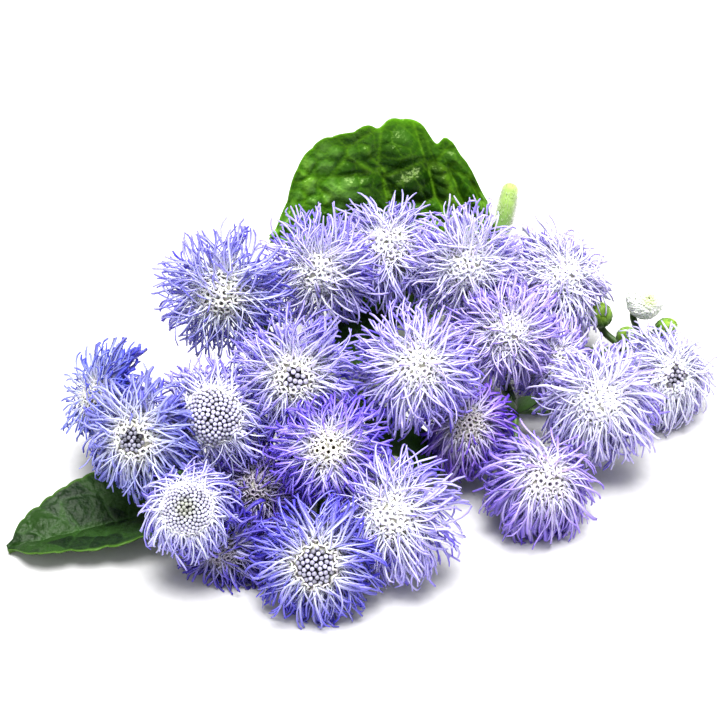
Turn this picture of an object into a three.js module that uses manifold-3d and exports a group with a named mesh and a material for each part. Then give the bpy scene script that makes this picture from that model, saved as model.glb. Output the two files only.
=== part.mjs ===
// A cut spray of ageratum (floss flower) lying on a table: one soft stem that forks into a
// broad cluster, flower heads that each sit on a green bell of bracts and carry a mop of
// thread-like styles, a few closed buds, and three crinkled leaves. Millimetres, +Z up. The
// origin is on the table under the middle of the spray. Most heads face -Y.

import * as THREE from "three";
import { mergeVertices } from "three/addons/utils/BufferGeometryUtils.js";
import Module from "manifold-3d";

const wasm = await Module();
wasm.setup();

// ---------------------------------------------------------------- driving dimensions, mm

const GAP = 0.35; // free space kept between pieces that touch in the plant
const HEAD_REACH = 7.8; // from the middle of a full head to the tips of its side styles
const HEAD_RISE = 5.6; // from the middle of a full head to the tips of its front styles
const DISC_RADIUS = 3; // the dome of florets that the styles grow from
const DISC_FLATNESS = 0.95; // its front half against a half ball
const DISC_DEPTH = 0.85; // from the middle of that dome to its underside
const TUFT_RADIUS = 0.62; // radius of a tuft of styles where it is fullest
const TUFT_FULL = 0.62; // how far out that is, between the dome and the tips
const TUFT_CLEARANCE = 0.42; // the most that radius may be, against the way to the next tuft
const BEAD_HEIGHT = 0.16; // how far a closed floret stands up, against the dome's radius
const SHORTEST_TUFT = 0.8; // a tuft with less room than this stays a low point
const BELL_DEPTH = 4.2; // the bell of bracts, from its rim to the flower stalk
const BELL_RADIUS = 2.9;
const BRACTS = 5; // pointed bracts that show round the rim
const BRACT_FLARE = 1.18; // how far out their points are, against the rim
const BRACT_RISE = 0.45;
const STALK_RADIUS = 0.5;
const BRANCH_RADII = [1, 0.7]; // at the fork and at the far end
const STEM_RADIUS = 1.25;
const BLADE_THICKNESS = 0.7;
const KEEL = 0.6; // how far the midrib stands out under a blade at its base
const LEAF_STALK_RADII = [0.8, 0.75, 0.7, 0.6];
const LEAF_ROWS = 18; // steps from a leaf's base to its tip, which its veins and notches lie on
const NOTCH_WIDTH = 0.03; // of a notch in a leaf's margin, against its length

// ---------------------------------------------------------------- how the styles fall

const HANG = 0.2; // how much the side tufts of most heads hang down
const JITTER = 0.12; // how far a tuft may stray, as a share of its length
const CLOSED_TILT = 0.85; // radians from the middle of a disc within which florets are closed
const LAST_TILT = 1.7; // radians from the middle of a disc to its last florets
const SWEEP = 0.18; // how far the side veins of a leaf lean towards its tip

// ---------------------------------------------------------------- where everything lies

// Each head: where its middle is, how far its face turns to the right of -Y, how far it looks
// up, both in degrees, its size against a full head, how much its side styles hang, and
// whether the florets in the middle of its disc are still closed beads.
const HEADS = [
  { name: "head_01", at: [-27, -24, 14], turn: -20, rise: 32, size: 1.0, hang: 0.4, beads: true },
  { name: "head_02", at: [-18.5, -21.5, 15], turn: -5, rise: 40, size: 0.95, beads: true },
  { name: "head_03", at: [-21, -33.5, 11.5], turn: -5, rise: 48, size: 0.8, hang: 0.5, beads: true },
  { name: "head_04", at: [-18, -5, 20.5], turn: -25, rise: 45, size: 1.05 },
  { name: "head_05", at: [-6.5, 0, 20], turn: -5, rise: 50, size: 1.0 },
  { name: "head_06", at: [-9, -18.5, 18.5], turn: 0, rise: 36, size: 1.02, beads: true },
  { name: "head_07", at: [2, 5.5, 19], turn: 5, rise: 58, size: 1.0 },
  { name: "head_08", at: [11.5, 2, 19.5], turn: 8, rise: 50, size: 1.0 },
  { name: "head_09", at: [5, -16.5, 18], turn: 2, rise: 45, size: 1.0 },
  { name: "head_10", at: [24, 8.5, 12], turn: 35, rise: 48, size: 1.0 },
  { name: "head_11", at: [16.5, -3.5, 13], turn: 12, rise: 32, size: 0.95 },
  { name: "head_12", at: [-5, -25.5, 13.5], turn: 0, rise: 40, size: 0.9 },
  { name: "head_13", at: [2.5, -32, 9], turn: 12, rise: 42, size: 1.05, hang: 0.4 },
  { name: "head_14", at: [-6.5, -37.5, 7], turn: 0, rise: 35, size: 1.0, hang: 0.4, beads: true },
  { name: "head_15", at: [-17, -32, 4.5], turn: -15, rise: 12, size: 0.85 },
  { name: "head_16", at: [-13.5, -24.5, 6.5], turn: -10, rise: 35, size: 0.85 },
  { name: "head_17", at: [11.5, -16.5, 8.5], turn: 0, rise: 48, size: 0.85, hang: 0.9 },
  { name: "head_18", at: [20, -24.5, 7], turn: 18, rise: 52, size: 1.0, hang: 0.9 },
  { name: "head_19", at: [27.5, -14.5, 11], turn: 12, rise: 48, size: 1.05, hang: 0.6 },
  { name: "head_20", at: [37, -5, 7], turn: 22, rise: 36, size: 0.95, hang: 0.8, beads: true },
  { name: "head_21", at: [-32, -15, 11.5], turn: -75, rise: 30, size: 0.95 },
  { name: "head_22", at: [23, -2, 7], turn: 15, rise: 45, size: 0.75 },
  { name: "young_head", at: [36, 10.5, 7], turn: 30, rise: 58, size: 0.62, young: true },
];

// Closed green buds: where each one's middle is, its turn and rise, its length.
const BUDS = [
  { at: [30, 8, 6.5], turn: -10, rise: 70, length: 4.2 },
  { at: [33, 3.5, 6.5], turn: 10, rise: 60, length: 3.6 },
  { at: [38.5, 6.5, 5.5], turn: 50, rise: 45, length: 3.6 },
];

// The stem runs from its cut end to the fork. Each branch leaves the fork, and its heads and
// buds hang on stalks that leave its outer half.
const CUT_END = [20.5, 44, 1.1];
const FORK = [9.5, 11.5, 6];
const STEM_LINE = [CUT_END, [18.5, 34, 1.2], [14.5, 21, 4], FORK];
const BRANCHES = [
  {
    line: [FORK, [3, -3, 5.5], [-4, -15, 6.5], [-6, -24, 5.5]],
    heads: ["head_06", "head_09", "head_12", "head_13", "head_14", "head_16"],
  },
  {
    line: [FORK, [-4, 1, 7.5], [-15, -10, 7.5], [-22, -15, 7]],
    heads: ["head_01", "head_02", "head_03", "head_04", "head_15", "head_21"],
  },
  {
    line: [FORK, [7, 10, 8.5], [4, 8.5, 11]],
    heads: ["head_05", "head_07", "head_08"],
  },
  {
    line: [FORK, [15, 3.5, 4.5], [18, -8, 4]],
    heads: ["head_11", "head_17", "head_18", "head_19"],
  },
  {
    line: [FORK, [20, 9, 3], [30, 5, 2.4], [36, 8.5, 2.4]],
    heads: ["head_10", "head_20", "head_22", "young_head"],
    buds: BUDS,
  },
];

// Each leaf: its stalk from the stem to the blade, the line of its midrib from base to tip,
// which way its upper face looks at both ends, the widths of its two halves at even steps from
// base to tip, the notches in their margins as row and depth, how far each half folds up from
// flat and curls on, in degrees, how far its margin rises and falls, the rows of its side
// veins, and how far the blade puffs up between them.
const LEAVES = [
  {
    name: "leaf_back",
    stalk: [[12.5, 16.5, 6], [16, 17, 11]],
    midrib: [[15.5, 16, 15.5], [6.5, 15, 16.5], [-4, 12.5, 17.5], [-13, 9.5, 17.8]],
    faces: [[0.15, -0.8, 0.55], [-0.35, -0.75, 0.5]],
    widths: [
      [3, 9, 12, 13, 12.5, 11, 8.5, 5.5, 2.5, 0.5],
      [3.2, 10, 12, 13.4, 13.5, 12.8, 12.1, 8.8, 3.6, 0.5],
    ],
    notches: [
      [[3, 0.12], [7, 0.1], [11, 0.08]],
      [[2, 0.1], [4, 0.14], [8, 0.06]],
    ],
    fold: [-12, 6],
    curl: [25, 16],
    wave: 1.3,
    veins: [0, 2, 4, 8, 12, 15, 18],
    puff: 0.7,
  },
  {
    name: "leaf_left",
    stalk: [[-15.5, -10.5, 6.6], [-16, -15, 4.8]],
    midrib: [[-17.5, -20, 3], [-26.5, -23, 0.9], [-35, -26, 0.55], [-43.3, -29, 0.6]],
    faces: [[0, 0, 1], [0, 0.1, 1]],
    widths: [
      [1.5, 5, 7, 8, 8, 7.2, 6.2, 5.6, 4.6, 0.5],
      [1.5, 5.5, 7.6, 8.2, 7.7, 7, 6.1, 5.1, 3.4, 0.5],
    ],
    notches: [
      [[7, 0.06], [10, 0.06], [13, 0.08], [16, 0.06]],
      [[8, 0.04], [14, 0.04]],
    ],
    fold: [25, 24],
    curl: [-6, -8],
    wave: 0.4,
    veins: [0, 3, 6, 9, 12, 15, 18],
    puff: 0.4,
  },
  {
    name: "leaf_middle",
    stalk: [[-2.2, -11.5, 6.4], [-2.4, -12.6, 9]],
    midrib: [[-1.6, -13.6, 11.4], [2.5, -15.2, 10], [6.3, -15.4, 7.3], [8.4, -15.4, 4.4], [8.3, -16.6, 1.4]],
    faces: [[0.25, 0.35, 0.9], [0.9, 0.3, 0.35]],
    widths: [
      [1, 3.2, 4.6, 5.2, 5.2, 5.1, 4.5, 3.5, 2, 0.5],
      [1, 3.2, 4.6, 5.2, 5.2, 5.1, 4.5, 3.5, 2, 0.5],
    ],
    notches: [
      [[6, 0.08], [12, 0.08]],
      [[6, 0.08], [12, 0.08]],
    ],
    fold: [-58, -50],
    curl: [-8, -8],
    wave: 0.2,
    veins: [0, 4, 8, 12, 15, 18],
    puff: 0.2,
  },
  {
    name: "leaf_inner",
    stalk: [[3, 6, 7.2], [2.2, 5.4, 8.8]],
    midrib: [[0.8, 4.5, 9.6], [-1.2, 1.2, 10.1], [-3.4, -2.6, 10], [-5.6, -6.4, 9.2]],
    faces: [[0.1, -0.3, 0.95], [0, -0.35, 0.95]],
    widths: [
      [1, 3, 4, 4.4, 4.4, 4.2, 3.6, 2.8, 1.6, 0.5],
      [1, 3, 4, 4.4, 4.4, 4.2, 3.6, 2.8, 1.6, 0.5],
    ],
    notches: [
      [[5, 0.08], [10, 0.08]],
      [[7, 0.08], [12, 0.08]],
    ],
    fold: [16, 12],
    curl: [-18, -14],
    wave: 0.3,
    veins: [0, 4, 8, 12, 15, 18],
    puff: 0.2,
  },
];

// ---------------------------------------------------------------- small tools

// A repeatable stream of numbers from 0 to 1.
function randomFrom(seed) {
  let state = seed >>> 0;
  return () => {
    state = (state + 0x6d2b79f5) >>> 0;
    let t = Math.imul(state ^ (state >>> 15), 1 | state);
    t = (t + Math.imul(t ^ (t >>> 7), 61 | t)) ^ t;
    return ((t ^ (t >>> 14)) >>> 0) / 4294967296;
  };
}

const vector = (p) => new THREE.Vector3(...p);
const UP = new THREE.Vector3(0, 0, 1);

// The direction a head looks in: turn to the right of -Y, rise above the table.
function facing(turn, rise) {
  const t = THREE.MathUtils.degToRad(turn);
  const r = THREE.MathUtils.degToRad(rise);
  return new THREE.Vector3(Math.sin(t) * Math.cos(r), -Math.cos(t) * Math.cos(r), Math.sin(r));
}

// Stands a piece that is made along +Z at a place, looking along its turn and rise.
function placed(piece) {
  const holder = new THREE.Object3D();
  holder.position.fromArray(piece.at);
  holder.quaternion.setFromUnitVectors(UP, facing(piece.turn, piece.rise));
  holder.updateMatrix();
  return holder;
}

// A closed three.js geometry as a solid that can be joined and cut.
function solidOf(geometry) {
  const bare = new THREE.BufferGeometry();
  bare.setAttribute("position", geometry.getAttribute("position"));
  if (geometry.index) bare.setIndex(geometry.index);
  const merged = mergeVertices(bare, 1e-4);
  return new wasm.Manifold(
    new wasm.Mesh({
      numProp: 3,
      vertProperties: new Float32Array(merged.attributes.position.array),
      triVerts: new Uint32Array(merged.index.array),
    }),
  );
}

function geometryOf(solid) {
  const mesh = solid.getMesh();
  const points = new Float32Array(mesh.numVert * 3);
  for (let i = 0; i < mesh.numVert; i++)
    for (let k = 0; k < 3; k++) points[3 * i + k] = mesh.vertProperties[mesh.numProp * i + k];
  const geometry = new THREE.BufferGeometry();
  geometry.setAttribute("position", new THREE.BufferAttribute(points, 3));
  geometry.setIndex(new THREE.BufferAttribute(new Uint32Array(mesh.triVerts), 1));
  geometry.computeVertexNormals();
  return geometry;
}

const joined = (solids) => solids.reduce((all, one) => all.add(one));

// The biggest body of a cut solid: tips that a cut leaves loose are dropped.
function mainBody(solid) {
  return solid.decompose().reduce((best, one) => (one.volume() > best.volume() ? one : best));
}

// A rod through some points with a radius at each.
function rod(points, radii, sides) {
  const last = points.length - 1;
  const tube = new THREE.CylinderGeometry(1, 1, 1, sides, last);
  const place = tube.getAttribute("position");
  const along = points.map((p, k) =>
    points[Math.min(k + 1, last)].clone().sub(points[Math.max(k - 1, 0)]).normalize(),
  );
  const whole = points[last].clone().sub(points[0]).normalize();
  const helper = Math.abs(whole.z) < 0.8 ? new THREE.Vector3(0, 0, 1) : new THREE.Vector3(1, 0, 0);
  for (let i = 0; i < place.count; i++) {
    const k = Math.round((place.getY(i) + 0.5) * last);
    const a = helper.clone().addScaledVector(along[k], -helper.dot(along[k])).normalize();
    const b = a.clone().cross(along[k]);
    const x = place.getX(i);
    const z = place.getZ(i);
    const length = Math.hypot(x, z);
    const p = points[k].clone();
    if (length > 1e-6) {
      p.addScaledVector(a, (x / length) * radii[k]);
      p.addScaledVector(b, (z / length) * radii[k]);
    }
    place.setXYZ(i, p.x, p.y, p.z);
  }
  return solidOf(tube);
}

// Points along a smooth line through the given ones.
function along(points, steps) {
  return new THREE.CatmullRomCurve3(points.map(vector)).getPoints(steps);
}

// ---------------------------------------------------------------- stem, bells and buds

// The bell of bracts under a head, in the head's own frame: a cup with pointed bracts round
// its rim, under the dome of florets. extra swells it on every side.
function bell(size, extra) {
  const segments = 2 * BRACTS;
  const top = -(DISC_DEPTH + GAP) * size;
  const waist = [0.8 * BELL_RADIUS * size + extra, top - 0.5 * BELL_DEPTH * size];
  const outline = [
    [0, top - BELL_DEPTH * size - extra],
    waist,
    [BELL_RADIUS * size + extra, top + extra],
    [0, top + extra],
  ].map(([out, up]) => new THREE.Vector2(out, up));
  const cup = new THREE.LatheGeometry(outline, segments);
  const rim = 2;
  const place = cup.getAttribute("position");
  for (let i = 0; i < place.count; i++) {
    const column = Math.floor(i / outline.length) % segments;
    const isPoint = i % outline.length === rim && column % 2 === 0;
    const out = isPoint ? BRACT_FLARE : 1;
    const up = isPoint ? BRACT_RISE * size : 0;
    place.setXYZ(i, place.getX(i) * out, -place.getZ(i) * out, place.getY(i) + up);
  }
  return solidOf(cup);
}

// A closed bud, in its own frame: an egg of green bracts, pleated round its side.
function bud(length, extra) {
  const pleats = 4;
  const egg = new THREE.SphereGeometry(1, 2 * pleats, 5);
  const place = egg.getAttribute("position");
  for (let i = 0; i < place.count; i++) {
    const turn = Math.atan2(place.getZ(i), place.getX(i));
    const radius = 0.36 * length * (1 + 0.12 * Math.cos(pleats * turn)) + extra;
    const height = length / 2 + extra;
    place.setXYZ(i, place.getX(i) * radius, -place.getZ(i) * radius, place.getY(i) * height);
  }
  return solidOf(egg);
}

// A stalk from the nearest place on a branch's outer half, that swings round into the back
// of what it carries, which is depth deep behind its middle.
function stalk(line, piece, depth, extra) {
  const direction = facing(piece.turn, piece.rise);
  const foot = vector(piece.at).addScaledVector(direction, -depth);
  const aim = foot.clone().addScaledVector(direction, -2);
  const outer = line.slice(Math.floor(line.length / 2));
  const near = outer.reduce((best, p) => (p.distanceTo(aim) < best.distanceTo(aim) ? p : best));
  const back = foot.clone().addScaledVector(direction, -0.5 * near.distanceTo(foot));
  back.z = Math.max(back.z, STALK_RADIUS);
  const points = new THREE.CubicBezierCurve3(near, near.clone().lerp(back, 0.5), back, foot).getPoints(3);
  const sunk = 0.9;
  points[points.length - 1].addScaledVector(direction, sunk);
  return rod(points, points.map(() => STALK_RADIUS + extra), 4);
}

// A branch with all that it carries: flower heads' bells and closed buds, on their stalks.
function branchSolids(branch, extra) {
  const line = along(branch.line, 6);
  const [first, last] = BRANCH_RADII;
  const radii = line.map((p, k) => first + ((last - first) * k) / (line.length - 1) + extra);
  const solids = [rod(line, radii, 5)];
  for (const head of HEADS.filter((one) => branch.heads.includes(one.name))) {
    solids.push(stalk(line, head, (DISC_DEPTH + GAP + BELL_DEPTH) * head.size, extra));
    solids.push(bell(head.size, extra).transform(placed(head).matrix.elements));
  }
  for (const one of branch.buds ?? []) {
    solids.push(stalk(line, one, 0.45 * one.length, extra));
    solids.push(bud(one.length, extra).transform(placed(one).matrix.elements));
  }
  return solids;
}

// All that is green and grows as one: stem, branches, stalks, bells and buds.
function greenFrame(extra) {
  const line = along(STEM_LINE, 5);
  const stem = rod(line, line.map(() => STEM_RADIUS + extra), 7);
  return joined([stem, ...BRANCHES.flatMap((branch) => branchSolids(branch, extra))]);
}

// ---------------------------------------------------------------- leaves

// The width of one half of a leaf at t, from 0 at the base to 1 at the tip.
function halfWidth(leaf, half, t) {
  const outline = new THREE.SplineCurve(leaf.widths[half].map((w, k) => new THREE.Vector2(k, w)));
  const notched = leaf.notches[half].reduce(
    (width, [row, depth]) => width * (1 - depth * Math.exp(-(((t - row / LEAF_ROWS) / NOTCH_WIDTH) ** 2))),
    outline.getPoint(t).y,
  );
  return Math.max(0.45, notched);
}

// How far t is from the side veins next to it: 0 on a vein and 1 halfway between two.
function betweenVeins(leaf, t) {
  const row = t * LEAF_ROWS;
  const next = Math.max(1, leaf.veins.findIndex((vein) => vein >= row - 1e-6));
  const [first, last] = [leaf.veins[next - 1], leaf.veins[next]];
  return Math.abs(Math.sin((Math.PI * (row - first)) / (last - first)));
}

// A point of a leaf's middle surface and its normal there. side is -1 or 1, u runs from 0 at
// the midrib to 1 at the margin.
function leafPoint(leaf, line, t, side, u) {
  const middle = line.getPoint(t);
  const forward = line.getTangent(t).normalize();
  const up = vector(leaf.faces[0]).lerp(vector(leaf.faces[1]), t);
  up.addScaledVector(forward, -up.dot(forward)).normalize();
  const sideways = forward.clone().cross(up).multiplyScalar(side);
  const half = side < 0 ? 0 : 1;
  const fold = THREE.MathUtils.degToRad(leaf.fold[half]);
  const curl = THREE.MathUtils.degToRad(leaf.curl[half]);
  const angle = fold + curl * u;
  const width = halfWidth(leaf, half, t);
  const out = (Math.sin(angle) - Math.sin(fold)) / curl;
  const lift = (Math.cos(fold) - Math.cos(angle)) / curl;
  const normal = up.clone().multiplyScalar(Math.cos(angle));
  normal.addScaledVector(sideways, -Math.sin(angle));
  const pillow = leaf.puff * betweenVeins(leaf, t) * Math.sin(Math.PI * Math.min(u, 0.9));
  const sway = leaf.wave * u * u * Math.sin(Math.PI * t) * Math.sin(Math.PI * (3.2 * t + 0.5 * side));
  const point = middle.clone().addScaledVector(sideways, width * out).addScaledVector(up, width * lift);
  point.addScaledVector(forward, SWEEP * width * u).addScaledVector(normal, pillow + sway);
  return { point, normal };
}

// A leaf blade as one closed thin body, split into triangles alike on both faces.
function blade(leaf, extra) {
  const line = new THREE.CatmullRomCurve3(leaf.midrib.map(vector));
  const rows = LEAF_ROWS;
  const across = 2;
  const columns = 2 * across;
  const half = BLADE_THICKNESS / 2 + extra;
  const faces = [[], []];
  for (let r = 0; r <= rows; r++)
    for (let c = 0; c <= columns; c++) {
      const t = r / rows;
      const u = Math.abs(c - across) / across;
      const { point, normal } = leafPoint(leaf, line, t, c < across ? -1 : 1, u);
      const margin = point.clone().sub(line.getPoint(t)).normalize();
      point.addScaledVector(margin, u === 1 ? extra : 0);
      const keel = u === 0 ? KEEL * (1 - 0.7 * t) : 0;
      faces[0].push(point.clone().addScaledVector(normal, half));
      faces[1].push(point.clone().addScaledVector(normal, -half - keel));
    }
  const count = faces[0].length;
  const index = [];
  const quad = (a, b, c, d) => index.push(a, b, c, a, c, d);
  const id = (r, c) => r * (columns + 1) + c;
  for (let r = 0; r < rows; r++)
    for (let c = 0; c < columns; c++) {
      const [a, b, d, e] = [id(r, c), id(r, c + 1), id(r + 1, c + 1), id(r + 1, c)];
      index.push(a, b, d, a, d, e);
      index.push(count + a, count + d, count + b, count + a, count + e, count + d);
    }
  for (let r = 0; r < rows; r++) {
    quad(id(r, 0), id(r + 1, 0), count + id(r + 1, 0), count + id(r, 0));
    quad(id(r, columns), count + id(r, columns), count + id(r + 1, columns), id(r + 1, columns));
  }
  for (let c = 0; c < columns; c++) {
    quad(id(0, c), count + id(0, c), count + id(0, c + 1), id(0, c + 1));
    quad(id(rows, c), id(rows, c + 1), count + id(rows, c + 1), count + id(rows, c));
  }
  const geometry = new THREE.BufferGeometry();
  const points = [...faces[0], ...faces[1]].flatMap((p) => p.toArray());
  geometry.setAttribute("position", new THREE.Float32BufferAttribute(points, 3));
  geometry.setIndex(index);
  return solidOf(geometry);
}

// The leaf's stalk, which runs a little way into the blade.
function leafStalk(leaf, extra) {
  const line = new THREE.CatmullRomCurve3(leaf.midrib.map(vector));
  const points = [...leaf.stalk.map(vector), line.getPoint(0), line.getPoint(0.06)];
  return rod(points, LEAF_STALK_RADII.map((r) => r + extra), 5);
}

const leafSolid = (leaf, extra) => blade(leaf, extra).add(leafStalk(leaf, extra));

// ---------------------------------------------------------------- flower heads

// The planes that keep a head clear of its neighbours, in the head's own frame: one halfway
// to each of them, and the table, which its lowest styles press on.
function borders(head, unturn) {
  const pressed = 0.3;
  const here = vector(head.at);
  const walls = HEADS.filter((other) => other !== head).map((other) => {
    const way = vector(other.at).sub(here);
    const limit = (way.length() * head.size) / (head.size + other.size) - GAP / 2;
    return { normal: way.normalize().applyQuaternion(unturn), limit };
  });
  walls.push({ normal: UP.clone().negate().applyQuaternion(unturn), limit: head.at[2] + pressed });
  return walls;
}

// How much of the way out to a point lies inside every border.
function freeShare(point, walls) {
  return walls.reduce((share, { normal, limit }) => {
    const out = point.dot(normal);
    return out > limit ? Math.min(share, limit / out) : share;
  }, 1);
}

// A ball of even facets, turned by chance, as its corners and the facets between them.
function facetedBall(random) {
  const bare = new THREE.IcosahedronGeometry(1, 1).deleteAttribute("normal").deleteAttribute("uv");
  const ball = mergeVertices(bare, 1e-4);
  ball.rotateX(2 * Math.PI * random()).rotateY(2 * Math.PI * random());
  const place = ball.getAttribute("position");
  const corners = Array.from({ length: place.count }, (_, i) =>
    new THREE.Vector3().fromBufferAttribute(place, i),
  );
  const facets = Array.from({ length: ball.index.count / 3 }, (_, f) =>
    Array.from(ball.index.array.slice(3 * f, 3 * f + 3)),
  );
  return { corners, facets };
}

// The tip of the tuft of styles that leaves a head along way: further out at the side than
// in front, strayed by chance, and turned down by its weight where it isn't upright.
function tuftTip(head, way, down, random) {
  const tilt = Math.acos(way.z);
  const level = new THREE.Vector3(way.x, way.y, Math.max(way.z, 0.05)).normalize();
  const reach = 1 / Math.hypot(Math.sin(tilt) / HEAD_REACH, way.z / HEAD_RISE);
  const stray = new THREE.Vector3(random() - 0.5, random() - 0.5, random() - 0.5);
  const weight = down.clone().addScaledVector(level, -down.dot(level));
  const hang = (head.hang ?? HANG) * Math.sin(tilt) ** 2;
  const tip = level.clone().addScaledVector(stray, 2 * JITTER).addScaledVector(weight, hang);
  tip.normalize().multiplyScalar(reach * head.size * (0.86 + 0.22 * random()));
  return { level, tip };
}

// A flower head, in its own frame: a dome whose every facet is drawn out into a floret. A
// closed one is a low bead. An open one swells to a tuft of styles and ends in a point.
function flowerHead(head, number) {
  const random = randomFrom(1000 + 17 * number);
  const unturn = placed(head).quaternion.invert();
  const down = UP.clone().negate().applyQuaternion(unturn);
  const walls = borders(head, unturn);
  const radius = DISC_RADIUS * head.size;
  const { corners, facets } = facetedBall(random);
  const points = corners.map(({ x, y, z }) => {
    const flatness = z < 0 ? DISC_DEPTH / DISC_RADIUS : DISC_FLATNESS;
    return new THREE.Vector3(x, y, z * flatness).multiplyScalar(radius);
  });
  const florets = facets.map((facet) => {
    const way = facet.reduce((sum, i) => sum.add(corners[i]), new THREE.Vector3()).normalize();
    const tilt = Math.acos(way.z);
    const isClosed = head.young || (head.beads && tilt < CLOSED_TILT);
    const { level, tip } = tuftTip(head, way, down, random);
    if (isClosed) tip.copy(way).multiplyScalar(radius * (1 + BEAD_HEIGHT));
    tip.multiplyScalar(freeShare(tip, walls));
    const room = tip.length() - radius;
    const isFlat = tilt > LAST_TILT || room < GAP / 2;
    const isTuft = !isFlat && !isClosed && room >= SHORTEST_TUFT;
    const neck = level.lerp(tip.clone().normalize(), 0.4).setLength(radius + TUFT_FULL * room);
    return { facet, way, tip, neck, isFlat, isTuft };
  });
  const tufts = florets.filter((floret) => floret.isTuft);
  const index = [];
  const cone = (ring, apex) => ring.forEach((p, k) => index.push(p, ring[(k + 1) % 3], apex));
  for (const floret of florets) {
    const { facet, way, tip, neck } = floret;
    if (floret.isFlat) {
      index.push(...facet);
      continue;
    }
    const apex = points.push(tip) - 1;
    if (!floret.isTuft) {
      cone(facet, apex);
      continue;
    }
    const nearest = Math.min(...tufts.map((one) => (one === floret ? Infinity : one.neck.distanceTo(neck))));
    const girth = Math.min(TUFT_RADIUS * head.size, TUFT_CLEARANCE * nearest);
    const lean = new THREE.Quaternion().setFromUnitVectors(way, neck.clone().normalize());
    const ring = facet.map((i) => {
      const aside = corners[i].clone().projectOnPlane(way).setLength(girth).applyQuaternion(lean);
      return points.push(aside.add(neck)) - 1;
    });
    facet.forEach((p, k) => {
      const n = (k + 1) % 3;
      index.push(p, facet[n], ring[n], p, ring[n], ring[k]);
    });
    cone(ring, apex);
  }
  const geometry = new THREE.BufferGeometry();
  const numbers = points.flatMap((p) => p.toArray());
  geometry.setAttribute("position", new THREE.Float32BufferAttribute(numbers, 3));
  geometry.setIndex(index);
  return solidOf(geometry);
}

// ---------------------------------------------------------------- the spray

const MATERIALS = {
  stem: new THREE.MeshStandardMaterial({ color: 0x86a06a, roughness: 0.6, metalness: 0 }),
  leaf: new THREE.MeshStandardMaterial({ color: 0x2f5a1f, roughness: 0.45, metalness: 0 }),
  florets: new THREE.MeshStandardMaterial({ color: 0x8f83e6, roughness: 0.6, metalness: 0 }),
  young_florets: new THREE.MeshStandardMaterial({ color: 0xe9ecdc, roughness: 0.6, metalness: 0 }),
};
for (const [name, material] of Object.entries(MATERIALS)) material.name = name;

// Where the middle of the spray lies in the numbers above, which becomes the origin.
const MIDDLE = [0, 0.7];
const TABLE_SIZE = 300;
const table = new THREE.BoxGeometry(TABLE_SIZE, TABLE_SIZE, TABLE_SIZE);
const TABLE = solidOf(table.translate(0, 0, -TABLE_SIZE / 2));

function meshOf(name, solid, material) {
  const mesh = new THREE.Mesh(geometryOf(mainBody(solid)), material);
  mesh.name = name;
  return mesh;
}

const spray = new THREE.Group();
spray.name = "ageratum_spray";
spray.position.set(-MIDDLE[0], -MIDDLE[1], 0);
spray.add(meshOf("stem", greenFrame(0).subtract(TABLE), MATERIALS.stem));

const frameRoom = greenFrame(GAP);
for (const leaf of LEAVES)
  spray.add(meshOf(leaf.name, leafSolid(leaf, 0).subtract(TABLE).subtract(frameRoom), MATERIALS.leaf));

const taken = joined([TABLE, frameRoom, ...LEAVES.map((leaf) => leafSolid(leaf, GAP))]);
HEADS.forEach((head, number) => {
  const { matrix, position, quaternion } = placed(head);
  const room = taken.transform(matrix.clone().invert().elements);
  const material = head.young ? MATERIALS.young_florets : MATERIALS.florets;
  const mesh = meshOf(head.name, flowerHead(head, number).subtract(room), material);
  mesh.position.copy(position);
  mesh.quaternion.copy(quaternion);
  spray.add(mesh);
});

export default spray;
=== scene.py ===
"""A cut spray of ageratum (floss flower) that lies on a table, dressed for rendering.

Metres, +Z up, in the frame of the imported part. The sizes that the classes hold are in
millimetres, in the numbers that the spray was laid out in, and laid() moves them into the
part's own frame.
"""

import logging
import math
from dataclasses import dataclass, field
from enum import Enum

import bpy
import numpy as np
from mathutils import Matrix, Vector, noise
from mathutils.bvhtree import BVHTree


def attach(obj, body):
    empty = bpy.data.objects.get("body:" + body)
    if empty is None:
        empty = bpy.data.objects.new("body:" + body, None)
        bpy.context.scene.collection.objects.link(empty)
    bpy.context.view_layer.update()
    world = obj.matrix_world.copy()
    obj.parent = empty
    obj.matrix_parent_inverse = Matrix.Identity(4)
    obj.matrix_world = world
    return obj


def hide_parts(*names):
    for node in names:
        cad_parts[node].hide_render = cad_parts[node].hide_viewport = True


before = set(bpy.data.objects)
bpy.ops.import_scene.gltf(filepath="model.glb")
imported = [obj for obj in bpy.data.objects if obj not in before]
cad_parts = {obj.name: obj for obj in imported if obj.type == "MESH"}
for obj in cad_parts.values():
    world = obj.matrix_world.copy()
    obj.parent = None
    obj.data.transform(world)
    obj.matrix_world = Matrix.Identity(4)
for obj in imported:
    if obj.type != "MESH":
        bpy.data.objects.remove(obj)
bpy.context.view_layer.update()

log = logging.getLogger("ageratum")

Array = np.ndarray
Point = tuple[float, float, float]
Colour = tuple[float, float, float]

MM = 0.001
MIDDLE = np.array([0.0, 0.7, 0.0])  # where the part's origin lies in the layout's numbers
UP = np.array([0.0, 0.0, 1.0])
GOLDEN_ANGLE = math.pi * (3 - math.sqrt(5))
GAP = 0.35  # free space between pieces
HEAD_REACH = 7.8  # from the middle of a full head to the tips of its side styles
HEAD_RISE = 5.6  # from the middle of a full head to the tips of its front styles
DISC_RADIUS = 3.0
DISC_FLATNESS = 0.95
DISC_DEPTH = 0.85
LAST_TILT = 1.7  # radians from the middle of a disc to its last florets
BELL_DEPTH = 4.2
BELL_RADIUS = 2.9
SWEEP = 0.18  # how far the side veins of a leaf lean towards its tip
LEAF_ROWS = 18  # steps from a leaf's base to its tip, which its veins and notches lie on
NOTCH_WIDTH = 0.03  # of a notch in a leaf's margin, against its length


# ---------------------------------------------------------------- small tools


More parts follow.
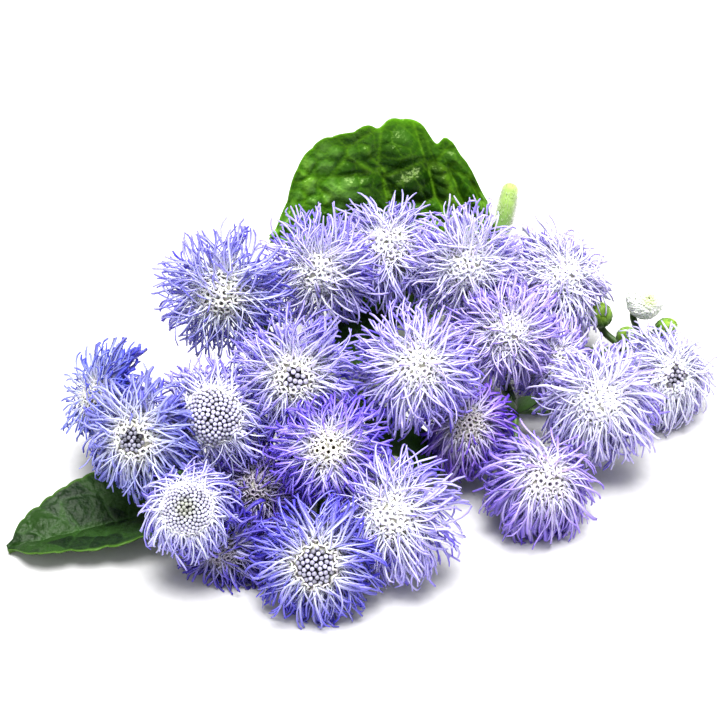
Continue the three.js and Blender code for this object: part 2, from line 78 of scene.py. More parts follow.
def srgb(red: int, green: int, blue: int) -> Colour:
    """Turns a colour in 0 to 255 steps into the linear values that shaders take.

    Args:
        red: Red step.
        green: Green step.
        blue: Blue step.

    Returns:
        The linear colour.
    """

    def linear(step: int) -> float:
        """Returns one channel's linear value."""
        c = step / 255
        return c / 12.92 if c <= 0.04045 else ((c + 0.055) / 1.055) ** 2.4

    return linear(red), linear(green), linear(blue)


def unit(vectors: Array) -> Array:
    """Returns vectors scaled to a length of one along their last axis."""
    return vectors / np.maximum(np.linalg.norm(vectors, axis=-1, keepdims=True), 1e-12)


def smooth(x: Array) -> Array:
    """Returns the smooth step of x from 0 to 1."""
    x = np.clip(x, 0.0, 1.0)
    return x * x * (3 - 2 * x)


def facing(turn: float, rise: float) -> Array:
    """Finds the direction that a head or bud looks in.

    Args:
        turn: Degrees to the right of -Y.
        rise: Degrees above the table.

    Returns:
        The unit direction.
    """
    t, r = math.radians(turn), math.radians(rise)
    return np.array([math.sin(t) * math.cos(r), -math.cos(t) * math.cos(r), math.sin(r)])


def standing(direction: Array) -> Array:
    """Returns the shortest turn that takes +Z to a direction, as a 3 by 3 matrix."""
    turn = Vector((0, 0, 1)).rotation_difference(Vector(direction))
    return np.array(turn.to_matrix())


def laid(points: Array) -> Array:
    """Returns layout millimetres as metres in the part's frame."""
    return (np.asarray(points, float) - MIDDLE) * MM


class SmoothLine:
    """A smooth line through some points, which keeps clear of loops between close points."""

    def __init__(self, points: list[Point]) -> None:
        """Keeps the points, with one more past each end.

        Args:
            points: The points, in millimetres.
        """
        p = np.array(points, float)
        self.points = np.vstack([2 * p[0] - p[1], p, 2 * p[-1] - p[-2]])

    def at(self, t: Array) -> Array:
        """Finds points of the line.

        Args:
            t: Where, from 0 at the start to 1 at the end.

        Returns:
            One point for each t.
        """
        t = np.atleast_1d(np.asarray(t, float))
        spans = len(self.points) - 3
        first = np.clip((t * spans).astype(int), 0, spans - 1)
        w = (t * spans - first)[:, None]
        p0, p1, p2, p3 = (self.points[first + k] for k in range(4))

        def gap(a: Array, b: Array) -> Array:
            """Returns the square root of the way from a to b."""
            return np.sqrt(np.linalg.norm(b - a, axis=1, keepdims=True))

        d0, d1, d2 = gap(p0, p1), gap(p1, p2), gap(p2, p3)
        m1 = ((p1 - p0) / d0 - (p2 - p0) / (d0 + d1) + (p2 - p1) / d1) * d1
        m2 = ((p2 - p1) / d1 - (p3 - p1) / (d1 + d2) + (p3 - p2) / d2) * d1
        c2 = 3 * (p2 - p1) - 2 * m1 - m2
        c3 = 2 * (p1 - p2) + m1 + m2
        return p1 + w * (m1 + w * (c2 + w * c3))

    def heading(self, t: Array) -> Array:
        """Returns the unit direction of the line at each t."""
        step = 1e-4
        return unit(self.at(np.clip(t + step, 0, 1)) - self.at(np.clip(t - step, 0, 1)))


def bezier(corners: list[Array], t: Array) -> Array:
    """Finds points of many cubic curves at once.

    Args:
        corners: Four arrays of control points, one row for each curve.
        t: Where on each curve, one row for each curve.

    Returns:
        An array of curves by points by 3.
    """
    a, b, c, d = (corner[:, None, :] for corner in corners)
    t = t[..., None]
    return (1 - t) ** 3 * a + 3 * (1 - t) ** 2 * t * b + 3 * (1 - t) * t**2 * c + t**3 * d


# ---------------------------------------------------------------- meshes


@dataclass
class Patch:
    """Some faces of one finish, with what their material reads.

    Attributes:
        points: Corner positions.
        quads: Four corners for each face.
        tris: Three corners for each face.
        quad_maps: Map places of the quads' corners, from 0 to 1.
        tri_maps: Map places of the triangles' corners.
        growth: For each point, how far from its root it lies, from 0 to 1.
        variety: For each point, a chance number of the floret or style it belongs to.
    """

    points: Array
    quads: Array
    tris: Array
    quad_maps: Array
    tri_maps: Array
    growth: Array
    variety: Array


def tubes(paths: Array, widths: Array, depths: Array, aside: Array, sides: int) -> Patch:
    """Makes closed tubes along many paths.

    Args:
        paths: Tubes by points by 3.
        widths: Half width at each point, along the tube's own side.
        depths: Half depth at each point, across it.
        aside: For each tube, the way its side looks at its root.
        sides: Corners of the tube's outline.

    Returns:
        The tubes, each mapped to its own upright strip.
    """
    count, steps, _ = paths.shape
    tangent = unit(np.gradient(paths, axis=1))
    side = np.empty_like(paths)
    here = aside
    for k in range(steps):
        here = unit(here - (here * tangent[:, k]).sum(1, keepdims=True) * tangent[:, k])
        side[:, k] = here
    other = np.cross(tangent, side)
    angle = 2 * np.pi * np.arange(sides) / sides
    ring = (
        paths[:, :, None]
        + (widths[..., None, None] * np.cos(angle)[:, None]) * side[:, :, None]
        + (depths[..., None, None] * np.sin(angle)[:, None]) * other[:, :, None]
    )
    body = steps * sides
    tip = paths[:, -1] + tangent[:, -1] * depths[:, -1:] * 0.9
    points = np.concatenate([ring.reshape(count, body, 3), paths[:, :1], tip[:, None]], axis=1)
    k, s = np.meshgrid(np.arange(steps - 1), np.arange(sides), indexing="ij")
    k, s = k.ravel(), s.ravel()
    n = (s + 1) % sides
    quads = np.stack([k * sides + s, k * sides + n, (k + 1) * sides + n, (k + 1) * sides + s], 1)
    s = np.arange(sides)
    n = (s + 1) % sides
    top = (steps - 1) * sides
    root = np.stack([n, s, np.full(sides, body)], 1)
    end = np.stack([top + s, top + n, np.full(sides, body + 1)], 1)
    tris = np.concatenate([root, end])
    row = np.linspace(0.04, 0.96, steps)
    qk, qs = np.divmod(np.arange(len(quads)), sides)
    quad_map = np.stack(
        [
            np.stack([qs / sides, row[qk]], 1),
            np.stack([(qs + 1) / sides, row[qk]], 1),
            np.stack([(qs + 1) / sides, row[qk + 1]], 1),
            np.stack([qs / sides, row[qk + 1]], 1),
        ],
        1,
    )
    low, high = np.full(sides, row[0]), np.full(sides, row[-1])
    mid = (s + 0.5) / sides
    tri_map = np.concatenate(
        [
            np.stack([np.stack([(s + 1) / sides, low], 1), np.stack([s / sides, low], 1),
                      np.stack([mid, low * 0], 1)], 1),
            np.stack([np.stack([s / sides, high], 1), np.stack([(s + 1) / sides, high], 1),
                      np.stack([mid, high * 0 + 1], 1)], 1),
        ]
    )
    strips = np.arange(count)[:, None, None]

    def in_strips(corner_maps: Array) -> Array:
        """Returns one tube's map repeated in a strip for each tube."""
        u = (strips + 0.06 + 0.88 * corner_maps[None, ..., 0]) / count
        v = np.broadcast_to(corner_maps[None, ..., 1], u.shape)
        return np.stack([u, v], -1).reshape(-1, corner_maps.shape[1], 2)

    start = np.arange(count)[:, None, None] * (body + 2)
    growth = np.concatenate([np.repeat(np.linspace(0, 1, steps), sides), [0.0, 1.0]])
    return Patch(
        points.reshape(-1, 3),
        (start + quads).reshape(-1, 4),
        (start + tris).reshape(-1, 3),
        in_strips(quad_map),
        in_strips(tri_map),
        np.tile(growth, count),
        np.zeros(len(points.reshape(-1, 3))),
    )


def revolved(radii: Array, heights: Array, growth: list[float]) -> Patch:
    """Makes a closed form round +Z from rings that need not be round.

    Args:
        radii: Rings by corners, the radius at each corner.
        heights: Rings by corners, the height at each corner.
        growth: For each ring, its growth value.

    Returns:
        The form, mapped row by row.
    """
    rings, corners = radii.shape
    angle = 2 * np.pi * np.arange(corners) / corners
    ring = np.stack([radii * np.cos(angle), radii * np.sin(angle), heights], -1).reshape(-1, 3)
    ends = np.array([[0, 0, heights[0].mean()], [0, 0, heights[-1].mean()]])
    points = np.concatenate([ring, ends])
    k, s = np.meshgrid(np.arange(rings - 1), np.arange(corners), indexing="ij")
    k, s = k.ravel(), s.ravel()
    n = (s + 1) % corners
    quads = np.stack([k * corners + s, k * corners + n, (k + 1) * corners + n, (k + 1) * corners + s], 1)
    row = np.linspace(0.1, 0.9, rings)
    u0, u1 = s / corners, (s + 1) / corners
    quad_map = np.stack(
        [np.stack([u0, row[k]], 1), np.stack([u1, row[k]], 1), np.stack([u1, row[k + 1]], 1),
         np.stack([u0, row[k + 1]], 1)], 1,
    )
    s = np.arange(corners)
    n = (s + 1) % corners
    top = (rings - 1) * corners
    tris = np.concatenate(
        [
            np.stack([n, s, np.full(corners, len(ring))], 1),
            np.stack([top + s, top + n, np.full(corners, len(ring) + 1)], 1),
        ]
    )
    low, high = np.full(corners, 0.1), np.full(corners, 0.9)
    a, b, m = s / corners, (s + 1) / corners, (s + 0.5) / corners
    tri_map = np.concatenate(
        [
            np.stack([np.stack([b, low], 1), np.stack([a, low], 1), np.stack([m, low * 0], 1)], 1),
            np.stack([np.stack([a, high], 1), np.stack([b, high], 1), np.stack([m, high + 0.1], 1)], 1),
        ]
    )
    values = np.concatenate([np.repeat(growth, corners), [growth[0], growth[-1]]])
    return Patch(points, quads, tris, quad_map, tri_map, values, np.zeros(len(points)))


def stamped(form: Patch, turns: Array, places: Array, scales: Array, variety: Array) -> Patch:
    """Repeats a form at many places.

    Args:
        form: What is repeated.
        turns: A 3 by 3 matrix for each repeat.
        places: Where each repeat's origin goes.
        scales: Size of each repeat along its own three axes.
        variety: A chance number for each repeat.

    Returns:
        All repeats, each mapped to its own cell of a grid.
    """
    count = len(places)
    points = np.einsum("nij,nkj->nki", turns, form.points[None] * scales[:, None]) + places[:, None]
    across = math.ceil(math.sqrt(count))
    cell = np.stack([np.arange(count) % across, np.arange(count) // across], 1)

    def in_cells(corner_maps: Array) -> Array:
        """Returns the form's map repeated in a cell for each repeat."""
        maps = (cell[:, None, None] + 0.05 + 0.9 * corner_maps[None]) / across
        return maps.reshape(-1, corner_maps.shape[1], 2)

    start = np.arange(count)[:, None, None] * len(form.points)
    return Patch(
        points.reshape(-1, 3),
        (start + form.quads).reshape(-1, 4),
        (start + form.tris).reshape(-1, 3),
        in_cells(form.quad_maps),
        in_cells(form.tri_maps),
        np.tile(form.growth, count),
        np.repeat(variety, len(form.points)),
    )


class Pile:
    """Gathers the patches of one piece and joins them into one object."""

    def __init__(self, name: str) -> None:
        """Starts an empty pile.

        Args:
            name: The piece's name.
        """
        self.name = name
        self.patches: list[tuple[Patch, bpy.types.Material, tuple[float, float, float, float]]] = []
        self.extra: dict[str, list[Array]] = {}

    def add(
        self,
        patch: Patch,
        material: bpy.types.Material,
        room: tuple[float, float, float, float] = (0, 0, 1, 1),
        **extra: Array,
    ) -> None:
        """Adds a patch.

        Args:
            patch: The faces, in layout millimetres.
            material: Their finish.
            room: The part of the map that they take: left, bottom, right, top.
            **extra: More values for each point, which the finish reads by name.
        """
        self.patches.append((patch, material, room))
        for name in set(self.extra) | set(extra):
            earlier = [np.zeros(len(p.points)) for p, _, _ in self.patches[:-1]]
            values = self.extra.setdefault(name, earlier)
            values.append(extra.get(name, np.zeros(len(patch.points))))

    def made(self, tint: float = 0.0, pale: float = 0.0) -> bpy.types.Object:
        """Joins what was gathered.

        Args:
            tint: The piece's place between its finishes' two hues, from 0 to 1.
            pale: How far it is bleached, from 0 to 1.

        Returns:
            The new object, in the scene.
        """
        materials = list(dict.fromkeys(material for _, material, _ in self.patches))
        points, loops, maps, sizes, slots = [], [], [], [], []
        start = 0
        for patch, material, (left, bottom, right, top) in self.patches:
            points.append(patch.points)
            for faces, corner_maps in ((patch.quads, patch.quad_maps), (patch.tris, patch.tri_maps)):
                if not len(faces):
                    continue
                loops.append((faces + start).ravel())
                low, size = np.array([left, bottom]), np.array([right - left, top - bottom])
                maps.append((low + corner_maps * size).reshape(-1, 2))
                sizes.append(np.full(len(faces), faces.shape[1]))
                slots.append(np.full(len(faces), materials.index(material)))
            start += len(patch.points)
        loops, sizes = np.concatenate(loops), np.concatenate(sizes)
        mesh = bpy.data.meshes.new(self.name)
        mesh.vertices.add(start)
        places = np.concatenate(points)
        places[:, 2] = np.maximum(places[:, 2], 0.01)
        mesh.vertices.foreach_set("co", laid(places).ravel())
        mesh.loops.add(len(loops))
        mesh.loops.foreach_set("vertex_index", loops.astype(np.int32))
        mesh.polygons.add(len(sizes))
        mesh.polygons.foreach_set("loop_start", np.concatenate([[0], np.cumsum(sizes)[:-1]]).astype(np.int32))
        mesh.polygons.foreach_set("material_index", np.concatenate(slots).astype(np.int32))
        mesh.polygons.foreach_set("use_smooth", np.ones(len(sizes), bool))
        for material in materials:
            mesh.materials.append(material)
        mesh.update(calc_edges=True)
        mesh.uv_layers.new(name="OFBake").data.foreach_set("uv", np.concatenate(maps).ravel())
        values = {
            "growth": np.concatenate([p.growth for p, _, _ in self.patches]),
            "variety": np.concatenate([p.variety for p, _, _ in self.patches]),
            "tint": np.full(start, tint),
            "pale": np.full(start, pale),
            **{name: np.concatenate(parts) for name, parts in self.extra.items()},
        }
        for name, numbers in values.items():
            mesh.attributes.new(name, "FLOAT", "POINT").data.foreach_set("value", numbers.astype(np.float32))
        mesh.validate()
        piece = bpy.data.objects.new(self.name, mesh)
        bpy.context.scene.collection.objects.link(piece)
        return piece


# ---------------------------------------------------------------- finishes


class Nodes:
    """Writes a material's or a group's node tree with few words."""

    def __init__(self, tree: bpy.types.NodeTree) -> None:
        """Takes a tree to write into.

        Args:
            tree: The tree.
        """
        self.tree = tree

    def add(self, kind: str, inputs: dict | None = None, **settings: object) -> bpy.types.Node:
        """Adds a node.

        Args:
            kind: Its type, without the ShaderNode in front.
            inputs: Socket names or numbers, and the value or output that each gets.
            **settings: The node's own settings.

        Returns:
            The node.
        """
        node = self.tree.nodes.new(kind if kind.startswith("Node") else "ShaderNode" + kind)
        for name, value in settings.items():
            setattr(node, name, value)
        for name, value in (inputs or {}).items():
            self.feed(node.inputs[name], value)
        return node

    def feed(self, socket: bpy.types.NodeSocket, value: object) -> None:
        """Links an output to a socket, or sets the socket's own value.

        Args:
            socket: The input.
            value: An output socket or a plain value.
        """
        if isinstance(value, bpy.types.NodeSocket):
            self.tree.links.new(value, socket)
        elif isinstance(value, tuple) and len(value) == 3 and socket.type == "RGBA":
            socket.default_value = (*value, 1)
        else:
            socket.default_value = value

    def value(self, name: str) -> bpy.types.NodeSocket:
        """Returns the output that carries a mesh's own values."""
        return self.add("Attribute", attribute_name=name).outputs["Fac"]

    def maths(self, operation: str, *terms: object, clamp: bool = False) -> bpy.types.NodeSocket:
        """Returns the result of a sum on numbers or outputs."""
        node = self.add("Math", dict(enumerate(terms)), operation=operation, use_clamp=clamp)
        return node.outputs[0]

    def ramp(self, factor: object, stops: list[tuple[float, Colour]]) -> bpy.types.NodeSocket:
        """Adds a colour ramp.

        Args:
            factor: What it reads.
            stops: Places and colours.

        Returns:
            Its colour output.
        """
        node = self.add("ValToRGB", {"Fac": factor})
        elements = node.color_ramp.elements
        while len(elements) < len(stops):
            elements.new(1.0)
        for element, (place, colour) in zip(elements, stops):
            element.position = place
            element.color = (*colour, 1)
        return node.outputs["Color"]

    def mix(self, factor: object, a: object, b: object, blend: str = "MIX") -> bpy.types.NodeSocket:
        """Adds a colour mix.

        Args:
            factor: How much of b.
            a: First colour or output.
            b: Second colour or output.
            blend: How the two join.

        Returns:
            Its colour output.
        """
        node = self.add("Mix", data_type="RGBA", blend_type=blend, clamp_factor=True)
        self.feed(node.inputs[0], factor)
        self.feed(node.inputs[6], a)
        self.feed(node.inputs[7], b)
        return node.outputs[2]


class Groups:
    """The effects that several finishes share, each built once as a node group."""

    _made: dict[str, bpy.types.NodeTree] = {}

    @classmethod
    def _start(
        cls, name: str, inputs: dict[str, tuple[str, object]], outputs: dict[str, str]
    ) -> tuple[Nodes, bpy.types.Node, bpy.types.Node]:
        """Starts a group with named sockets.

        Args:
            name: The group's name.
            inputs: Socket kind and first value by name.
            outputs: Socket kind by name.

        Returns:
            A writer for its tree, its input node and its output node.
        """
        tree = bpy.data.node_groups.new(name, "ShaderNodeTree")
        for socket, (kind, value) in inputs.items():
            made = tree.interface.new_socket(socket, in_out="INPUT", socket_type="NodeSocket" + kind)
            made.default_value = (*value, 1) if kind == "Color" else value
        for socket, kind in outputs.items():
            tree.interface.new_socket(socket, in_out="OUTPUT", socket_type="NodeSocket" + kind)
        nodes = Nodes(tree)
        cls._made[name] = tree
        return nodes, nodes.add("NodeGroupInput"), nodes.add("NodeGroupOutput")

    @classmethod
    def mottle(cls) -> bpy.types.NodeTree:
        """Uneven living colour: soft clouds that darken and lighten a colour.

        Returns:
            The group, with Color, Scale, Depth and Variety in, and Color and Cloud out.
        """
        if "mottle" in cls._made:
            return cls._made["mottle"]
        nodes, into, out = cls._start(
            "mottle",
            {
                "Color": ("Color", (0.5, 0.5, 0.5)),
                "Scale": ("Float", 400.0),
                "Depth": ("Float", 0.2),
                "Variety": ("Float", 0.5),
            },
            {"Color": "Color", "Cloud": "Float"},
        )
        where = nodes.add("TexCoord").outputs["Object"]
        cloud = nodes.add("TexNoise", {"Vector": where, "Scale": into.outputs["Scale"], "Detail": 3.0})
        wander = nodes.maths("SUBTRACT", cloud.outputs["Fac"], 0.5)
        own = nodes.maths("SUBTRACT", into.outputs["Variety"], 0.5)
        swing = nodes.maths("ADD", nodes.maths("MULTIPLY", wander, 2.0), own)
        light = nodes.maths("MULTIPLY_ADD", swing, into.outputs["Depth"], 1.0)
        shade = nodes.add("HueSaturation", {"Color": into.outputs["Color"], "Value": light})
        nodes.feed(out.inputs["Color"], shade.outputs["Color"])
        nodes.feed(out.inputs["Cloud"], cloud.outputs["Fac"])
        return cls._made["mottle"]

    @classmethod
    def skin(cls) -> bpy.types.NodeTree:
        """Plant skin: fine cells and lengthwise unevenness, as a height for a bump.

        Returns:
            The group, with Cells and Weight in, and Height out.
        """
        if "skin" in cls._made:
            return cls._made["skin"]
        nodes, into, out = cls._start(
            "skin",
            {"Cells": ("Float", 3000.0), "Weight": ("Float", 0.5)},
            {"Height": "Float"},
        )
        where = nodes.add("TexCoord").outputs["Object"]
        cells = nodes.add("TexVoronoi", {"Vector": where, "Scale": into.outputs["Cells"]})
        grain = nodes.add("TexNoise", {"Vector": where, "Scale": into.outputs["Cells"], "Detail": 2.0})
        mixed = nodes.maths("MULTIPLY", cells.outputs["Distance"], into.outputs["Weight"])
        nodes.feed(out.inputs["Height"], nodes.maths("ADD", mixed, grain.outputs["Fac"]))
        return cls._made["skin"]


@dataclass(frozen=True)
class Finish:
    """What every plant finish has: a name, a gloss and a skin.

    Attributes:
        name: The material's name.
        roughness: Its mean roughness.
        cells: How many skin cells there are in a metre.
        bump: How far the skin stands up, in metres.
        sheen: How much soft fuzz catches light at a glance.
    """

    name: str
    roughness: float = 0.5
    cells: float = 3000.0
    bump: float = 0.00004
    sheen: float = 0.0

    def colour(self, nodes: Nodes) -> bpy.types.NodeSocket:
        """Returns the output that carries the finish's colour."""
        raise NotImplementedError

    def material(self) -> bpy.types.Material:
        """Builds the material, once.

        Returns:
            The material.
        """
        ready = bpy.data.materials.get(self.name)
        if ready:
            return ready
        material = bpy.data.materials.new(self.name)
        material.use_nodes = True
        nodes = Nodes(material.node_tree)
        shader = material.node_tree.nodes["Principled BSDF"]
        mottle = nodes.add("Group", node_tree=Groups.mottle())
        nodes.feed(mottle.inputs["Color"], self.colour(nodes))
        nodes.feed(mottle.inputs["Variety"], nodes.value("variety"))
        skin = nodes.add("Group", node_tree=Groups.skin())
        skin.inputs["Cells"].default_value = self.cells
        bump = nodes.add("Bump", {"Height": skin.outputs["Height"], "Distance": self.bump})
        rough = nodes.maths("MULTIPLY_ADD", mottle.outputs["Cloud"], 0.16, self.roughness - 0.08)
        nodes.feed(shader.inputs["Base Color"], mottle.outputs["Color"])
        nodes.feed(shader.inputs["Roughness"], rough)
        nodes.feed(shader.inputs["Normal"], bump.outputs["Normal"])
        shader.inputs["Sheen Weight"].default_value = self.sheen
        self.tune(nodes, shader, mottle)
        return material

    def tune(self, nodes: Nodes, shader: bpy.types.Node, mottle: bpy.types.Node) -> None:
        """Sets what a finish has beyond the common ones.

        Args:
            nodes: The writer of its tree; not used.
            shader: The Principled node.
            mottle: The group node that gives the colour.
        """


@dataclass(frozen=True)
class FlossFinish(Finish):
    """Petals and styles, whose colour runs from root to tip in one of two hues.

    Attributes:
        cool: Colours from root to tip of the bluest heads.
        warm: The same of the most violet heads.
        bleached: What the palest heads tend to.
        deep_cool: What the inmost of the bluest heads tends to: painted shade on their sunk, low and shaded styles and
            petals, and the unripe green of closed florets.
        deep_warm: The same of the most violet heads.
        deep_pale: The same of the palest heads.
        depth: How unevenly light its florets are.
        bleach: How far a pale head bleaches it.
        glow: How much light passes through its thin skin.
        fresh_tips: How far its tips keep their colour where it is bleached.
    """

    cool: tuple[tuple[float, Colour], ...] = ()
    warm: tuple[tuple[float, Colour], ...] = ()
    bleached: Colour = srgb(240, 239, 255)
    deep_cool: Colour = srgb(66, 68, 204)
    deep_warm: Colour = srgb(88, 48, 214)
    deep_pale: Colour = srgb(142, 122, 248)
    depth: float = 0.22
    bleach: float = 1.0
    glow: float = 0.35
    fresh_tips: float = 0.0

    def colour(self, nodes: Nodes) -> bpy.types.NodeSocket:
        """Returns the output that carries the colour along a floret."""
        growth = nodes.value("growth")
        cool = nodes.ramp(growth, list(self.cool))
        warm = nodes.ramp(growth, list(self.warm))
        hue = nodes.mix(nodes.value("tint"), cool, warm)
        pale = nodes.maths("MULTIPLY", nodes.value("pale"), self.bleach)
        pale = nodes.maths("MULTIPLY", pale, nodes.maths("MULTIPLY_ADD", growth, -self.fresh_tips, 1.0))
        hue = nodes.mix(pale, hue, self.bleached)
        # The deep colour paints shade on sunk and shaded styles and petals, and the unripe green on closed florets.
        deep = nodes.mix(pale, nodes.mix(nodes.value("tint"), self.deep_cool, self.deep_warm), self.deep_pale)
        return nodes.mix(nodes.value("deep"), hue, deep)

    def tune(self, nodes: Nodes, shader: bpy.types.Node, mottle: bpy.types.Node) -> None:
        """Evens the clouds to the scale of a floret and lets light through it."""
        mottle.inputs["Scale"].default_value = 900.0
        mottle.inputs["Depth"].default_value = self.depth
        shader.inputs["Subsurface Weight"].default_value = self.glow
        shader.inputs["Subsurface Radius"].default_value = (0.8, 0.6, 1.0)
        shader.inputs["Subsurface Scale"].default_value = 0.0006


@dataclass(frozen=True)
class LeafFinish(Finish):
    """A crinkled leaf: pale veins and margin on a green blade, paler underneath.

    Attributes:
        blade: The blade's colour where its tone is low, which also paints the shade in its hollows.
        bright: The blade's colour where its tone is high, which also paints the light that comes through it.
        painted_crest_highlight: The blade's colour on its crests where light falls on them: a painted highlight.
        veins: The colour of its veins.
        margin: The colour of its thin edge.
        under: The colour of its lower face.
        under_painted_shade: The colour of that face's hollows, painted darker as shade.
        under_veins: The colour of the veins that stand out of it.
        wax: How much its waxy skin reflects.
        wax_tint: The colour of what it reflects.
    """

    blade: Colour = (0.0, 0.0, 0.0)
    bright: Colour = (0.0, 0.0, 0.0)
    painted_crest_highlight: Colour = (0.0, 0.0, 0.0)
    veins: Colour = (0.0, 0.0, 0.0)
    margin: Colour = (0.0, 0.0, 0.0)
    under: Colour = (0.0, 0.0, 0.0)
    under_painted_shade: Colour = (0.0, 0.0, 0.0)
    under_veins: Colour = (0.0, 0.0, 0.0)
    wax: float = 0.24
    wax_tint: Colour = (1.0, 1.0, 1.0)

    def colour(self, nodes: Nodes) -> bpy.types.NodeSocket:
        """Returns the output that carries the colour over the leaf."""
        light = nodes.value("light")
        # The cells' tones and the painted light and shade run from the hollow colour to the colour where light comes
        # through.
        deep = nodes.mix(light, self.blade, self.bright)
        # Painted highlight: crests turn to the highlight colour where the painted light is strong.
        lit = nodes.maths("MULTIPLY", nodes.value("crest"), nodes.maths("POWER", light, 2.5))
        green = nodes.mix(lit, deep, self.painted_crest_highlight)
        veined = nodes.mix(nodes.maths("MULTIPLY", nodes.value("vein"), 0.62), green, self.veins)
        edged = nodes.mix(nodes.value("edge"), veined, self.margin)
        # Painted shade: the lower face darkens where the blade's crests are low.
        below = nodes.mix(nodes.value("crest"), self.under_painted_shade, self.under)
        below = nodes.mix(nodes.value("vein"), below, self.under_veins)
        return nodes.mix(nodes.value("back"), edged, below)

    def tune(self, nodes: Nodes, shader: bpy.types.Node, mottle: bpy.types.Node) -> None:
        """Spreads the clouds over the leaf and waxes its face."""
        mottle.inputs["Scale"].default_value = 160.0
        mottle.inputs["Depth"].default_value = 0.35
        shader.inputs["Specular IOR Level"].default_value = self.wax
        shader.inputs["Specular Tint"].default_value = (*self.wax_tint, 1)


@dataclass(frozen=True)
class GreenFinish(Finish):
    """Stems, bracts and buds: green that changes from root to tip.

    Attributes:
        stops: Places and colours from root to tip.
    """

    stops: tuple[tuple[float, Colour], ...] = ()

    def colour(self, nodes: Nodes) -> bpy.types.NodeSocket:
        """Returns the output that carries the colour along the part."""
        return nodes.ramp(nodes.value("growth"), list(self.stops))

    def tune(self, nodes: Nodes, shader: bpy.types.Node, mottle: bpy.types.Node) -> None:
        """Evens the clouds to the scale of a stem."""
        mottle.inputs["Scale"].default_value = 500.0
        mottle.inputs["Depth"].default_value = 0.25


STYLES = FlossFinish(
    "floss_styles",
    roughness=0.42,
    cells=9000.0,
    bump=0.00001,
    fresh_tips=0.32,
    cool=(
        (0.0, srgb(250, 250, 254)),
        (0.28, srgb(226, 230, 250)),
        (0.6, srgb(158, 168, 238)),
        (1.0, srgb(90, 102, 214)),
    ),
    warm=(
        (0.0, srgb(250, 248, 254)),
        (0.3, srgb(236, 226, 254)),
        (0.62, srgb(194, 164, 248)),
        (1.0, srgb(132, 84, 232)),
    ),
)
PETALS = FlossFinish(
    "floret_petals",
    roughness=0.5,
    cells=7000.0,
    bump=0.00001,
    # The throat's olive darkens to near black deep in the tube: painted shade over its own olive colour.
    cool=(
        (0.0, srgb(20, 19, 4)),
        (0.2, srgb(70, 68, 20)),
        (0.34, srgb(176, 177, 146)),
        (0.5, srgb(206, 205, 196)),
        (1.0, srgb(237, 236, 234)),
    ),
    warm=(
        (0.0, srgb(22, 18, 6)),
        (0.2, srgb(78, 70, 24)),
        (0.34, srgb(184, 176, 150)),
        (0.5, srgb(212, 205, 198)),
        (1.0, srgb(242, 237, 237)),
    ),
    # Painted shade for heads that lie in shade.
    deep_cool=srgb(92, 90, 146),
    deep_warm=srgb(112, 92, 144),
)
BEADS = FlossFinish(
    "closed_florets",
    roughness=0.4,
    cells=7000.0,
    bump=0.00001,
    # Each bead darkens towards its base, in the gaps between beads: painted shade.
    cool=(
        (0.0, srgb(52, 50, 64)),
        (0.35, srgb(100, 98, 118)),
        (0.65, srgb(148, 148, 172)),
        (0.85, srgb(186, 187, 206)),
        (1.0, srgb(178, 178, 194)),
    ),
    warm=(
        (0.0, srgb(54, 48, 62)),
        (0.35, srgb(104, 98, 116)),
        (0.65, srgb(156, 150, 174)),
        (0.85, srgb(196, 190, 208)),
        (1.0, srgb(186, 181, 196)),
    ),
    deep_cool=srgb(146, 154, 86),
    deep_warm=srgb(148, 152, 90),
    depth=0.5,
    bleach=0.2,
)
YOUNG_BEADS = FlossFinish(
    "young_florets_white",
    roughness=0.5,
    cells=7000.0,
    bump=0.00001,
    cool=(
        (0.0, srgb(206, 212, 184)),
        (0.5, srgb(240, 242, 228)),
        (1.0, srgb(253, 253, 250)),
    ),
    warm=(
        (0.0, srgb(158, 176, 110)),
        (0.5, srgb(196, 210, 146)),
        (1.0, srgb(214, 224, 174)),
    ),
)
# The bed is near black under closed florets, painted shade in the gaps between them, and pale under open ones.
DISC = GreenFinish(
    "floret_bed_painted_gap_shade",
    roughness=0.7,
    bump=0.00002,
    stops=((0.0, srgb(40, 38, 42)), (1.0, srgb(206, 206, 192))),
)
BRACTS = GreenFinish(
    "bracts",
    roughness=0.5,
    sheen=0.15,
    stops=(
        (0.0, srgb(36, 62, 20)),
        (0.5, srgb(54, 86, 30)),
        (0.85, srgb(88, 118, 54)),
        (1.0, srgb(98, 88, 96)),
    ),
)
STEM = GreenFinish(
    "stem_skin",
    roughness=0.48,
    bump=0.00005,
    sheen=0.2,
    stops=(
        (0.0, srgb(196, 216, 130)),
        (0.06, srgb(150, 180, 92)),
        (0.3, srgb(96, 132, 58)),
        (0.45, srgb(66, 98, 36)),
        (1.0, srgb(52, 82, 28)),
    ),
)
CUT = GreenFinish(
    "cut_pith",
    roughness=0.6,
    bump=0.00008,
    stops=((0.0, srgb(226, 236, 180)), (1.0, srgb(240, 245, 214))),
)
BUD = GreenFinish(
    "bud_bracts",
    roughness=0.42,
    sheen=0.1,
    stops=(
        (0.0, srgb(28, 60, 4)),
        (0.55, srgb(80, 124, 20)),
        (1.0, srgb(146, 182, 60)),
    ),
)
HAIR = GreenFinish(
    "stem_hairs",
    roughness=0.4,
    stops=((0.0, srgb(190, 204, 160)), (1.0, srgb(240, 244, 232))),
)
# Leaf green for the leaf that stands in light, with painted highlights and painted light coming through it.
LEAF_IN_PAINTED_LIGHT = LeafFinish(
    "leaf_in_painted_light",
    roughness=0.36,
    cells=1800.0,
    bump=0.00012,
    blade=srgb(16, 50, 0),
    bright=srgb(58, 116, 0),
    painted_crest_highlight=srgb(150, 188, 108),
    veins=srgb(126, 178, 38),
    margin=srgb(86, 142, 14),
    wax=0.42,
    wax_tint=(0.8, 1.0, 0.45),
    under=srgb(112, 150, 72),
    under_painted_shade=srgb(84, 124, 48),
    under_veins=srgb(160, 190, 112),
)
